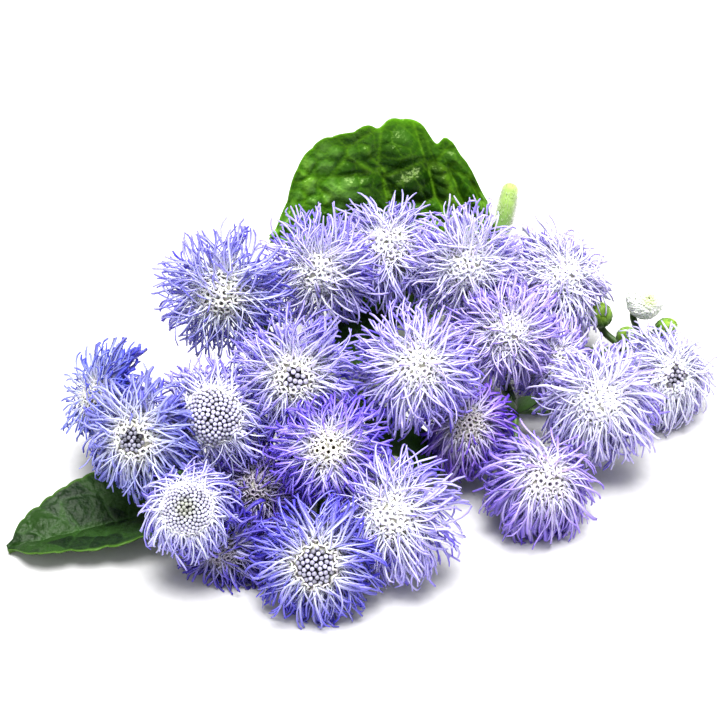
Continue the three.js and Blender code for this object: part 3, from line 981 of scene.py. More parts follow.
# A darker, bluer leaf green for the leaves that lie under and among the heads: painted shade over the leaf's own green.
LEAF_IN_PAINTED_SHADE = LeafFinish(
    "leaf_in_painted_shade",
    roughness=0.5,
    cells=1800.0,
    bump=0.00012,
    blade=srgb(14, 36, 10),
    bright=srgb(44, 78, 22),
    painted_crest_highlight=srgb(46, 76, 34),
    veins=srgb(57, 91, 42),
    margin=srgb(74, 112, 32),
    under=srgb(72, 106, 42),
    under_painted_shade=srgb(50, 80, 28),
    under_veins=srgb(112, 146, 74),
)


# ---------------------------------------------------------------- flower heads


class Obstacles:
    """The solids that styles may not pass through."""

    def __init__(self, names: list[str]) -> None:
        """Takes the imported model's solids by name.

        Args:
            names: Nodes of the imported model.
        """
        self.trees = []
        for name in names:
            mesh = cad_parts[name].data
            points = [v.co.copy() for v in mesh.vertices]
            self.trees.append(BVHTree.FromPolygons(points, [tuple(p.vertices) for p in mesh.polygons]))

    def free_shares(self, paths: Array, from_step: int) -> Array:
        """Finds how far along each path the way is free.

        Args:
            paths: Paths by points by 3, in metres.
            from_step: The point from which on the path is looked at.

        Returns:
            For each path, a share from 0 to 1.
        """
        count, steps, _ = paths.shape
        shares = np.ones(count)
        for i in range(count):
            for k in range(from_step, steps - 1):
                a, b = Vector(paths[i, k]), Vector(paths[i, k + 1])
                way = b - a
                length = way.length
                hits = [tree.ray_cast(a, way, length)[3] for tree in self.trees]
                hits = [hit for hit in hits if hit is not None]
                if hits:
                    shares[i] = (k + 0.85 * min(hits) / length) / (steps - 1)
                    break
        return shares


def floret_form(corners: int, rings: list[tuple[Array, Array, float]]) -> Patch:
    """Makes a floret's form, which is as big as the way between florets.

    Args:
        corners: Corners of its rings.
        rings: For each ring, radius and height at its corners, and its growth value.

    Returns:
        The form.
    """
    flat = np.ones(corners)
    radii = np.array([radius * flat for radius, _, _ in rings])
    heights = np.array([height * flat for _, height, _ in rings])
    return revolved(radii, heights, [growth for _, _, growth in rings])


def open_floret() -> Patch:
    """Returns an open floret: a short tube with five pointed lobes and a deep throat."""
    tip = (np.arange(10) % 2 == 0).astype(float)
    rings = [
        (0.34, -0.1, 0.5),
        (0.42 + 0.06 * tip, 0.26, 0.8),
        (0.5 + 0.24 * tip, 0.4 + 0.1 * tip, 1.0),
        (0.31 + 0.09 * tip, 0.45 + 0.03 * tip, 0.9),
        (0.23, 0.32, 0.2),
        (0.14, 0.0, 0.0),
    ]
    return floret_form(10, rings)


def side_floret() -> Patch:
    """Returns a plain open floret, for the sides of a dome, where styles hide it."""
    rings = [(0.4, -0.1, 0.6), (0.62, 0.44, 1.0), (0.22, 0.3, 0.2), (0.13, 0.1, 0.0)]
    return floret_form(6, rings)


def closed_floret() -> Patch:
    """Returns a closed floret: a bead of five folded lobes with a small dimple on top."""
    lobe = (np.arange(10) % 2 == 0).astype(float)
    rings = [
        (0.36, -0.25, 0.0),
        (0.46 + 0.01 * lobe, 0.14, 0.35),
        (0.46 + 0.02 * lobe, 0.4, 0.65),
        (0.3 + 0.05 * lobe, 0.62, 0.85),
        (0.1, 0.66, 1.0),
    ]
    return floret_form(10, rings)


def young_floret() -> Patch:
    """Returns a young floret: a slim white club that hasn't opened."""
    rings = [
        (0.55, -0.1, 0.0),
        (0.66, 0.3, 0.5),
        (0.7, 0.6, 0.8),
        (0.5, 0.86, 1.0),
        (0.14, 0.86, 0.9),
    ]
    return floret_form(8, rings)


@dataclass
class FlowerHead:
    """A flower head: a dome of florets with its mop of thread-like styles.

    Attributes:
        name: The solid that it stands for.
        at: Its middle.
        turn: How far its face turns to the right of -Y, in degrees.
        rise: How far it looks up, in degrees.
        size: Its size against a full head.
        hang: How much its side styles hang down.
        closed: Radians from its middle within which florets are closed.
        tint: Its hue, from 0 for blue to 1 for violet.
        ribbons: The share of its outer styles that cling together as ribbons.
        young: Whether all its florets are young and white.
        pale: How far its colour is bleached.
        bead_spacing: The way between closed florets, in a full head.
        cup_spacing: The way between open florets, in a full head.
        bare: Radians from its middle within which fewer florets show styles.
        shade: How far it is painted in shade: how far all its styles, and its open florets, tend to their deep colour.
        unripe: How green the closed florets in its middle are.
        dim: How much darker than others its florets and styles are, for their own colour and, in heads that lie in
            shade, as painted shade.
        dusk: How much darker still its closed florets are.
        shy: How much shorter its styles are on the side that points away from where it leans.
        lean: Where its longest styles point: degrees to the right of -Y, and above the table.
        nod: How far its florets look to the right of its bell, and above it, in degrees.
        dome: How wide its dome of florets is, against a full head's.
        flatness: How high its dome is, against its width.
        style_steps: Points along a style.
        style_sides: Corners round it.
        style_radius: Its mean radius.
    """

    name: str
    at: Point
    turn: float
    rise: float
    size: float
    hang: float = 0.2
    closed: float = 0.0
    tint: float = 0.5
    ribbons: float = 0.0
    young: bool = False
    pale: float = 0.0
    bead_spacing: float = 0.6
    cup_spacing: float = 0.9
    bare: float = 0.55
    shade: float = 0.0
    unripe: float = 0.0
    dim: float = 0.0
    dusk: float = 0.0
    shy: float = 0.0
    lean: tuple[float, float] = (0.0, 0.0)
    nod: tuple[float, float] = (0.0, 0.0)
    dome: float = 1.0
    flatness: float = DISC_FLATNESS
    style_steps: int = 8
    style_sides: int = 3
    style_radius: float = 0.116

    def __post_init__(self) -> None:
        """Works out how the head stands."""
        self.direction = facing(self.turn, self.rise)
        self.bell_turned = standing(self.direction)
        self.turned = standing(facing(self.turn + self.nod[0], self.rise + self.nod[1]))
        self.down = self.turned.T @ -UP
        self.random = np.random.default_rng(4000 + int(sum(map(ord, self.name)) * 13 + self.turn))

    def walls(self, heads: list["FlowerHead"], slack: float) -> tuple[Array, Array]:
        """Finds the planes that styles stay behind, in the head's own frame.

        Args:
            heads: All heads.
            slack: How far styles may reach into a neighbour's mop.

        Returns:
            The planes' normals and how far out they lie.
        """
        here = np.array(self.at, float)
        normals, limits = [], []
        for other in heads:
            if other is self:
                continue
            way = np.array(other.at, float) - here
            length = np.linalg.norm(way)
            normals.append(self.turned.T @ (way / length))
            limits.append(length * self.size / (self.size + other.size) + slack)
        return np.array(normals), np.array(limits)

    def spots(self) -> tuple[Array, Array]:
        """Spreads the florets over the dome as a plant does, by the golden angle.

        Returns:
            Tilt from the head's middle and turn round it, for each floret.
        """
        steps = np.linspace(0, LAST_TILT, 600)
        closed = (steps < self.closed) | self.young
        spacing = np.where(closed, self.bead_spacing, self.cup_spacing)
        ring = 2 * np.pi * (DISC_RADIUS * self.dome) ** 2 * np.sin(steps) * (steps[1] - steps[0])
        so_far = np.cumsum(ring / (0.87 * spacing**2))
        count = int(so_far[-1])
        tilt = np.interp(np.arange(count) + 0.5, so_far, steps)
        turn = np.arange(count) * GOLDEN_ANGLE + self.random.uniform(0, 6)
        loose = 0.3 + 0.7 * (tilt > self.closed)
        tilt = tilt + self.random.normal(0, 0.012, count) * loose
        return tilt, turn + self.random.normal(0, 0.02, count) * loose

    def on_dome(self, tilt: Array, turn: Array) -> tuple[Array, Array]:
        """Finds points of the dome and the way out of it there.

        Args:
            tilt: Radians from the head's middle.
            turn: Radians round it.

        Returns:
            Points and unit normals, in the head's own frame.
        """
        way = np.stack([np.sin(tilt) * np.cos(turn), np.sin(tilt) * np.sin(turn), np.cos(tilt)], 1)
        flat = np.where(way[:, 2] < 0, 0.6, self.flatness)
        points = way * DISC_RADIUS * self.dome * self.size
        points[:, 2] *= flat
        return points, unit(way / np.stack([flat * 0 + 1, flat * 0 + 1, flat], 1))

    def to_layout(self, points: Array) -> Array:
        """Returns points of the head's own frame in the layout's numbers."""
        return points @ self.turned.T + np.array(self.at, float)

    def style_paths(
        self, tilt: Array, turn: Array, heads: list["FlowerHead"], obstacles: Obstacles
    ) -> tuple[Array, Array, Array, Array]:
        """Finds the ways of the styles.

        Args:
            tilt: Tilt of the floret that each style grows from.
            turn: Turn of that floret.
            heads: All heads.
            obstacles: What the styles may not pass through.

        Returns:
            Paths in the layout's numbers, each style's way aside at its root, whether it is a
            ribbon, and how far it stays below the others, from 0 to 1.
        """
        random = self.random
        count = len(tilt)
        outer = (np.arange(count) % 2).astype(float)
        root, normal = self.on_dome(tilt, turn)
        root = root + normal * 0.12
        grown = smooth((tilt - max(self.closed, self.bare) + 0.1) / 0.5)
        spread = random.uniform(0.25, 0.95, count) * (1 - 0.4 * grown) - 0.1 * outer * grown
        tip_tilt = np.minimum(tilt + spread, random.uniform(1.45, 2.0, count))
        part = np.where(outer > 0, 1, -1) * random.uniform(0.03, 0.36, count)
        tip_turn = turn + (part + random.normal(0, 0.2, count)) / np.maximum(np.sin(tip_tilt), 0.4)
        clumps = random.uniform(0, 2 * np.pi, 18)
        away = (clumps[None] - tip_turn[:, None] + np.pi) % (2 * np.pi) - np.pi
        nearest = away[np.arange(count), np.abs(away).argmin(1)]
        tip_turn = tip_turn + nearest * (0.15 + 0.6 * self.ribbons) * smooth((tilt - 0.8) / 0.5)
        level = np.stack(
            [np.sin(tip_tilt) * np.cos(tip_turn), np.sin(tip_tilt) * np.sin(tip_turn), np.cos(tip_tilt)], 1
        )
        reach = 1 / np.hypot(np.sin(tip_tilt) / HEAD_REACH, np.maximum(level[:, 2], 0) / HEAD_RISE)
        weight = self.down - (level @ self.down)[:, None] * level
        way = unit(level + weight * self.hang * (np.sin(tip_tilt) ** 2)[:, None])
        disc = DISC_RADIUS * self.dome * self.size
        long = random.uniform(0, 1, count)
        full = reach * self.size * (0.72 + 0.38 * long)
        off = np.clip(0.35 - level @ (self.turned.T @ facing(*self.lean)), 0, 1)
        full = full * (1 - self.shy * off)
        tip = way * (disc + (full - disc) * (0.5 + 0.5 * grown))[:, None]
        normals, limits = self.walls(heads, 1.6)
        out = tip @ normals.T
        share = np.where(out > limits, limits / np.maximum(out, 1e-6), 1.0).min(1)
        share = np.maximum(share * random.uniform(0.93, 1.06, count), 0.48)
        tip = tip * share[:, None]
        length = np.linalg.norm(tip - root, axis=1, keepdims=True)
        first = root + unit(normal + 0.42 * random.normal(0, 1, (count, 3))) * length * 0.34
        bend = 0.5 * random.normal(0, 1, (count, 3))
        last = tip - unit(unit(tip - first) + bend) * length * 0.3
        steps = np.tile(np.linspace(0, 1, self.style_steps), (count, 1))
        aside = unit(np.cross(normal, way + 0.001))
        curl = (random.uniform(0.04, 0.24, count), random.uniform(4, 9, count), random.uniform(0, 6.3, count))
        paths = self.curled([root, first, last, tip], steps, aside, curl)
        world = self.to_layout(paths)
        free = obstacles.free_shares(laid(world), 3)
        world = self.to_layout(self.curled([root, first, last, tip], steps * free[:, None], aside, curl))
        world[..., 2] = np.maximum(world[..., 2], 0.16)
        ribbon = (tilt > 1.0) & (random.uniform(0, 1, count) < self.ribbons)
        return world, aside @ self.turned.T, ribbon, 1 - long

    def curled(
        self, corners: list[Array], steps: Array, aside: Array, curl: tuple[Array, Array, Array]
    ) -> Array:
        """Finds points of styles that wind a little round their way.

        Args:
            corners: The curves' control points.
            steps: Where on each curve.
            aside: Each curve's way to the side.
            curl: For each curve, how far it winds, how often, and where that starts.

        Returns:
            Curves by points by 3.
        """
        paths = bezier(corners, steps)
        amount, turns, start = (part[:, None] for part in curl)
        other = unit(np.cross(aside, corners[3] - corners[0]))
        wind = turns * steps + start
        size = (amount * self.size * steps**1.2)[..., None]
        swing = (np.sin(wind) - np.sin(start))[..., None] * aside[:, None]
        return paths + size * (swing + 0.7 * (np.cos(wind) - np.cos(start))[..., None] * other[:, None])

    def build(self, heads: list["FlowerHead"], obstacles: Obstacles) -> bpy.types.Object:
        """Builds the head.

        Args:
            heads: All heads.
            obstacles: What the styles may not pass through.

        Returns:
            The piece.
        """
        pile = Pile(self.name + "_bloom")
        tilt, turn = self.spots()
        place, normal = self.on_dome(tilt, turn)
        shut = (tilt < self.closed) | self.young
        self.add_dome(pile)
        if shut.any():
            form = young_floret() if self.young else closed_floret()
            finish = YOUNG_BEADS if self.young else BEADS
            rows = [place[shut], normal[shut], tilt[shut]]
            self.add_florets(pile, form, finish, *rows, self.bead_spacing, (0.0, 0.78, 0.45, 1.0))
        if not shut.all():
            front, aside = ~shut & (tilt < 1.2), ~shut & (tilt >= 1.2)
            rows = [place[front], normal[front], tilt[front]]
            self.add_florets(pile, open_floret(), PETALS, *rows, self.cup_spacing, (0.46, 0.78, 0.88, 1.0))
            rows = [place[aside], normal[aside], tilt[aside]]
            self.add_florets(pile, side_floret(), PETALS, *rows, self.cup_spacing, (0.89, 0.78, 1.0, 1.0))
            chance = np.where(tilt > self.bare, 1.0, 0.66)
            styled = np.flatnonzero(~shut & (self.random.uniform(0, 1, len(tilt)) < chance))
            more = styled[tilt[styled] > 0.7]
            styled = np.concatenate([np.repeat(styled, 2), np.repeat(more, 4)])
            self.add_styles(pile, tilt[styled], turn[styled], heads, obstacles)
        return pile.made(self.tint, self.pale)

    def add_dome(self, pile: Pile) -> None:
        """Adds the bed that the florets stand on."""
        rings = np.linspace(0.02, np.pi - 0.02, 20)
        open_part = smooth((rings - self.closed + 0.1) / 0.2) * (not self.young)
        radius = (DISC_RADIUS * self.dome * (0.97 + 0.03 * open_part)) * self.size
        flat = np.where(np.cos(rings) < 0, DISC_DEPTH / DISC_RADIUS, self.flatness)
        ones = np.ones(20)
        bed = revolved(
            np.outer(radius * np.sin(rings), ones)[::-1],
            np.outer(radius * np.cos(rings) * flat, ones)[::-1],
            [1.0] * 20 if self.young else list(open_part[::-1]),
        )
        bed.points = self.to_layout(bed.points)
        pile.add(bed, DISC.material(), (0.9, 0.7, 1.0, 0.77))

    def add_florets(
        self,
        pile: Pile,
        form: Patch,
        finish: FlossFinish,
        place: Array,
        normal: Array,
        tilt: Array,
        spacing: float,
        room: tuple[float, float, float, float],
    ) -> None:
        """Adds florets of one kind.

        Args:
            pile: Where they go.
            form: One floret.
            finish: Their finish.
            place: Their places on the dome.
            normal: The way out of the dome at each.
            tilt: Their tilt from the head's middle.
            spacing: The way between them, in a full head.
            room: The part of the map that they take.
        """
        count = len(place)
        loose = np.where(tilt < self.closed, 0.3, 1.0)
        lean = unit(normal + (0.08 * loose)[:, None] * self.random.normal(0, 1, (count, 3)))
        turns = np.array([self.turned @ standing(way) for way in lean])
        grow = self.size * spacing * (1 + self.random.uniform(-0.07, 0.07, count) * loose)
        scales = np.stack([grow, grow, grow * (1.05 + self.random.uniform(-0.2, 0.2, count) * loose)], 1)
        variety = self.random.uniform(0, 1, count) - self.dim - self.dusk * (finish is BEADS)
        florets = stamped(form, turns, self.to_layout(place), scales, variety)
        middling = np.repeat(1 - smooth((tilt - 0.15) / 0.5), len(form.points))
        if self.young:
            pile.add(florets, finish.material(), room, tint=middling)
        else:
            # Closed florets get the unripe green in the middle; open florets get painted shade from the head's shade.
            deep = middling * self.unripe if finish is BEADS else np.full(len(middling), 0.9 * self.shade)
            pile.add(florets, finish.material(), room, deep=deep)

    def add_styles(
        self, pile: Pile, tilt: Array, turn: Array, heads: list["FlowerHead"], obstacles: Obstacles
    ) -> None:
        """Adds the mop of styles.

        Args:
            pile: Where they go.
            tilt: Tilt of the floret that each style grows from.
            turn: Turn of that floret.
            heads: All heads.
            obstacles: What the styles may not pass through.
        """
        paths, aside, ribbon, sunk = self.style_paths(tilt, turn, heads, obstacles)
        count = len(paths)
        t = np.linspace(0, 1, self.style_steps)
        club = 0.82 + 0.36 * smooth((t - 0.3) / 0.6)
        club[-1] *= 0.74
        girth = self.style_radius * self.random.uniform(0.85, 1.25, count)[:, None] * club
        widths = girth * np.where(ribbon, 2.3, 1.1)[:, None]
        depths = girth * np.where(ribbon, 0.5, 0.95)[:, None]
        styles = tubes(paths, widths, depths, aside, self.style_sides)
        per_style = len(styles.points) // count
        styles.variety = np.repeat(self.random.uniform(0, 1, count) - self.dim, per_style)
        ripe = np.repeat(self.random.uniform(0.8, 1.15, count), per_style)
        styles.growth = np.clip(styles.growth * ripe, 0, 1)
        # Painted shade: styles that lie low, to the rear or sunk under longer ones tend to the deep colour, and the
        # head's shade tends all of them to it.
        low = 0.15 + 0.85 * smooth((tilt - 0.8) / 0.7)
        share = low * self.random.uniform(0, 1, count) ** 0.8 + 0.6 * sunk**1.5
        share = share * (0.9 - 0.35 * self.pale * (1 - low**2))
        deep = np.repeat(self.shade + (1 - self.shade) * np.clip(share, 0, 0.95), per_style)
        pile.add(styles, STYLES.material(), (0.0, 0.0, 1.0, 0.76), deep=deep * styles.growth**0.4)


# ---------------------------------------------------------------- leaves


@dataclass
class Leaf:
    """A crinkled leaf with its stalk.

    Attributes:
        name: The solid that it stands for.
        stalk: Points of its stalk, from the stem to the blade.
        midrib: Points of its midrib, from base to tip.
        faces: Which way its upper face looks, at its base and at its tip.
        widths: The widths of its two halves at even steps from base to tip.
        notches: The notches in their margins, as row and depth.
        fold: How far its halves fold up, in degrees.
        curl: How far they curl on, in degrees.
        wave: How far its margin rises and falls.
        veins: The rows of its side veins.
        puff: How far it puffs up between them.
        finish: Its finish.
        thickness: Of the blade.
        cell: How wide the largest cells between its veins are.
        patches: Places of painted light and shade, lighter and darker: t, side times u, how far each reaches, how much.
        teeth: How deep the small rounded teeth of its margin are.
        rows: Steps of its mesh from base to tip.
        across: Steps of its mesh from midrib to margin.
    """

    name: str
    stalk: list[Point]
    midrib: list[Point]
    faces: list[Point]
    widths: tuple[list[float], list[float]]
    notches: tuple[list[tuple[int, float]], list[tuple[int, float]]]
    fold: tuple[float, float]
    curl: tuple[float, float]
    wave: float
    veins: list[int]
    puff: float
    finish: LeafFinish
    thickness: float = 0.3
    cell: float = 4.2
    patches: list[tuple[float, float, float, float]] = field(default_factory=list)
    teeth: float = 0.2
    rows: int = 150
    across: int = 40

    def half_width(self, t: Array, side: Array) -> Array:
        """Finds the width of one half of the blade.

        Args:
            t: From 0 at the base to 1 at the tip.
            side: -1 or 1 for the leaf's halves.

        Returns:
            The width at each t.
        """
        found = []
        for outline, notches in zip(self.widths, self.notches):
            steps = np.array([outline[0], *outline, outline[-1]], float)
            last = len(outline) - 1
            k = np.clip((t * last).astype(int), 0, last - 1)
            w = t * last - k
            p0, p1, p2, p3 = (steps[k + i] for i in range(4))
            v0, v1 = (p2 - p0) / 2, (p3 - p1) / 2
            width = (2 * p1 - 2 * p2 + v0 + v1) * w**3 + (3 * p2 - 3 * p1 - 2 * v0 - v1) * w**2 + v0 * w + p1
            for row, depth in notches:
                width = width * (1 - depth * np.exp(-(((t - row / LEAF_ROWS) / NOTCH_WIDTH) ** 2)))
            found.append(width)
        arch = np.abs(np.sin(np.pi * (11.3 * t + 0.2 * np.sin(9 * t))))
        return np.maximum(0.3, np.where(side < 0, *found) - self.teeth * (1 - arch) ** 1.5)

    def between_veins(self, t: Array) -> tuple[Array, Array]:
        """Finds where each t lies between the side veins next to it.

        Args:
            t: From 0 at the base to 1 at the tip.

        Returns:
            A value that is 0 on a vein and 1 halfway, and the way to the next vein in rows.
        """
        veins = np.array(self.veins, float)
        row = np.clip(t, 0, 1) * LEAF_ROWS
        k = np.clip(np.searchsorted(veins, row, side="right") - 1, 0, len(veins) - 2)
        first, last = veins[k], veins[k + 1]
        share = (row - first) / (last - first)
        return np.abs(np.sin(np.pi * share)), np.minimum(row - first, last - row)

    def surface(self, t: Array, u: Array, side: Array) -> tuple[Array, Array]:
        """Finds points of the leaf's middle surface.

        Args:
            t: From 0 at the base to 1 at the tip.
            u: From 0 at the midrib to 1 at the margin.
            side: -1 or 1 for the leaf's halves.

        Returns:
            Points and unit normals.
        """
        line = SmoothLine(self.midrib)
        middle, forward = line.at(t), line.heading(t)
        first, last = (np.array(face, float) for face in self.faces)
        up = first + (last - first) * t[:, None]
        up = unit(up - (up * forward).sum(1, keepdims=True) * forward)
        sideways = np.cross(forward, up) * side[:, None]
        fold = np.radians(np.where(side < 0, *self.fold))
        curl = np.radians(np.where(side < 0, *self.curl))
        angle = fold + curl * u
        width = self.half_width(t, side)
        out = (np.sin(angle) - np.sin(fold)) / curl
        lift = (np.cos(fold) - np.cos(angle)) / curl
        normal = up * np.cos(angle)[:, None] - sideways * np.sin(angle)[:, None]
        sway = self.wave * u * u * np.sin(np.pi * t) * np.sin(np.pi * (3.2 * t + 0.5 * side))
        point = middle + sideways * (width * out)[:, None] + up * (width * lift)[:, None]
        point = point + forward * (SWEEP * width * u)[:, None]
        relief = self.relief(t, u, side)["height"] + sway
        return point + normal * relief[:, None], normal

    def relief(self, t: Array, u: Array, side: Array) -> dict[str, Array]:
        """Finds how the blade puffs up between its veins.

        Args:
            t: From 0 at the base to 1 at the tip.
            u: From 0 at the midrib to 1 at the margin.
            side: -1 or 1 for the leaf's halves.

        Returns:
            By name: the height, how much of a vein each place is, how much of a crest, and
            how light its green is: its cells' own tones with the painted light and shade of its patches.
        """
        width = self.half_width(t, side)
        length = float(np.linalg.norm(np.diff(np.array(self.midrib), axis=0), axis=1).sum())
        wander = 0.035 * np.sin(8 * u + 5 * side + 11 * t) + 0.012 * np.sin(23 * u + 17 * t)
        between, rows_off = self.between_veins(t - 0.06 * u + wander * u)
        way_off = rows_off * length / LEAF_ROWS
        side_vein = np.exp(-((way_off / 0.22) ** 2)) * np.clip(1.15 - u, 0, 1)
        midrib = np.exp(-((u * width / 0.36) ** 2))
        flat = np.stack([t * length, side * u * width, 0 * t], 1)
        gaps, tones = np.empty((3, len(t))), np.empty(len(t))
        for i, place in enumerate(flat):
            for k, cell in enumerate((self.cell, self.cell * 0.42, self.cell * 0.16)):
                ways, seeds = noise.voronoi(Vector(place / cell) + Vector((7.3 * k, 1.7, 0.4)))
                gaps[k, i] = ways[1] - ways[0]
                if k == 0:
                    tones[i] = noise.cell(seeds[0] * 3.1)
        big, small, fine = (smooth(gaps[k] * scale) for k, scale in enumerate((1.5, 1.7, 1.6)))
        net = np.exp(-((gaps[0] * self.cell / 0.26) ** 2))
        twigs = np.exp(-((gaps[1] * self.cell * 0.42 / 0.13) ** 2))
        near_edge = smooth((1 - u) * 5)
        pillow = self.puff * (0.4 * between + 1.1 * big * near_edge) * np.sin(np.pi * np.minimum(u, 0.9))
        crinkle = self.puff * (0.26 * small + 0.03 * fine) * near_edge
        height = pillow + crinkle - 0.3 * self.puff * midrib - 0.12 * side_vein
        vein = np.maximum.reduce([midrib, 0.85 * side_vein, 0.45 * net, 0.25 * twigs])
        crest = np.clip(0.45 * big + 0.4 * small + 0.15 * fine, 0, 1)
        light = 0.47 + 0.36 * (tones - 0.5)
        # The patches paint light and shade onto the green: darker hollows where shade falls, lighter places where light
        # falls on the blade or comes through it.
        for t0, u0, spread, amount in self.patches:
            away = ((t - t0) / spread) ** 2 + ((side * u - u0) / (1.7 * spread)) ** 2
            light = light + amount * np.exp(-away)
        light = np.clip(light, 0, 1)
        return {"height": height, "vein": np.clip(vein, 0, 1), "crest": crest, "light": light}

    def build(self) -> bpy.types.Object:
        """Builds the leaf.

        Returns:
            The piece.
        """
        columns = 2 * self.across + 1
        r, c = np.meshgrid(np.arange(self.rows + 1), np.arange(columns), indexing="ij")
        t = (r / self.rows).ravel()
        u = (np.abs(c - self.across) / self.across).ravel()
        side = np.where(c < self.across, -1.0, 1.0).ravel()
        point, normal = self.surface(t, u, side)
        relief = self.relief(t, u, side)
        vein = relief["vein"]
        half = self.thickness / 2 * (1 - 0.6 * u**4)
        rib = 0.42 * (1 - 0.7 * t) * np.exp(-((u * self.half_width(t, side) / 0.5) ** 2))
        top = point + normal * half[:, None]
        bottom = point - normal * (half + rib + 0.2 * vein)[:, None]
        faces = [self.clear_of_table(p) for p in (top, bottom)]
        count = len(t)
        at = np.arange(count).reshape(self.rows + 1, columns)
        a, b, d, e = (x.ravel() for x in (at[:-1, :-1], at[:-1, 1:], at[1:, 1:], at[1:, :-1]))
        upper = np.stack([a, b, d, e], 1)
        rim = np.concatenate([at[0, :], at[1:, -1], at[-1, -2::-1], at[-2:0:-1, 0]])
        following = np.roll(rim, -1)
        edge = np.stack([following, rim, rim + count, following + count], 1)
        maps = np.stack([0.02 + 0.96 * t, 0.5 + (0.24 * u * side)], 1)

        def map_of(face: Array, shift: float) -> Array:
            """Returns the map of some faces, moved up or down."""
            return maps[face % count] + np.array([0.0, shift])

        quads = np.concatenate([upper, upper[:, ::-1] + count, edge])
        quad_maps = np.concatenate([map_of(upper, 0.25), map_of(upper[:, ::-1], -0.25), map_of(edge, 0.25)])
        both = Patch(
            np.concatenate(faces), quads, np.zeros((0, 3), int), quad_maps, np.zeros((0, 3, 2)),
            np.tile(t, 2), np.full(2 * count, 0.5),
        )
        pile = Pile(self.name + "_blade")
        # light carries the cells' tones with the painted light and shade; crest carries where painted highlights go.
        extra = {
            "vein": np.concatenate([vein, vein * 0.8]),
            "crest": np.tile(relief["crest"], 2),
            "light": np.tile(relief["light"], 2),
            "edge": np.tile(smooth((u - 0.93) / 0.07) * 0.8, 2),
            "back": np.repeat([0.0, 1.0], count),
        }
        pile.add(both, self.finish.material(), (0, 0, 1, 0.94), **extra)
        self.add_stalk(pile)
        return pile.made()

    def clear_of_table(self, points: Array) -> Array:
        """Returns points lifted where they would sink into the table."""
        points[:, 2] = np.maximum(points[:, 2], 0.02)
        return points

    def add_stalk(self, pile: Pile) -> None:
        """Adds the leaf's stalk, which runs a little way into the blade."""
        line = SmoothLine(self.midrib)
        points = [*self.stalk, *map(tuple, line.at(np.array([0.0, 0.07])))]
        steps = np.linspace(0, 1, 24)
        path = SmoothLine(points).at(steps)
        radius = 0.72 - 0.3 * steps**3
        stalk = tubes(path[None], radius[None], radius[None] * 0.9, np.array([[0.3, 0.2, 0.9]]), 14)
        ones = np.ones(len(stalk.points))
        pile.add(stalk, self.finish.material(), (0, 0.95, 1, 1), vein=ones * 0.8, crest=ones * 0.5)


# ---------------------------------------------------------------- stem, bells and buds


@dataclass
class Bud:
    """A closed green bud.

    Attributes:
        at: Its middle.
        turn: How far it turns to the right of -Y, in degrees.
        rise: How far it looks up, in degrees.
        length: Its length.
    """

    at: Point
    turn: float
    rise: float
    length: float


@dataclass
class Branch:
    """A branch of the stem with what it carries.

    Attributes:
        line: Its points, from the fork outwards.
        heads: Names of its flower heads.
        buds: Its buds.
    """

    line: list[Point]
    heads: list[str]
    buds: list[Bud] = field(default_factory=list)


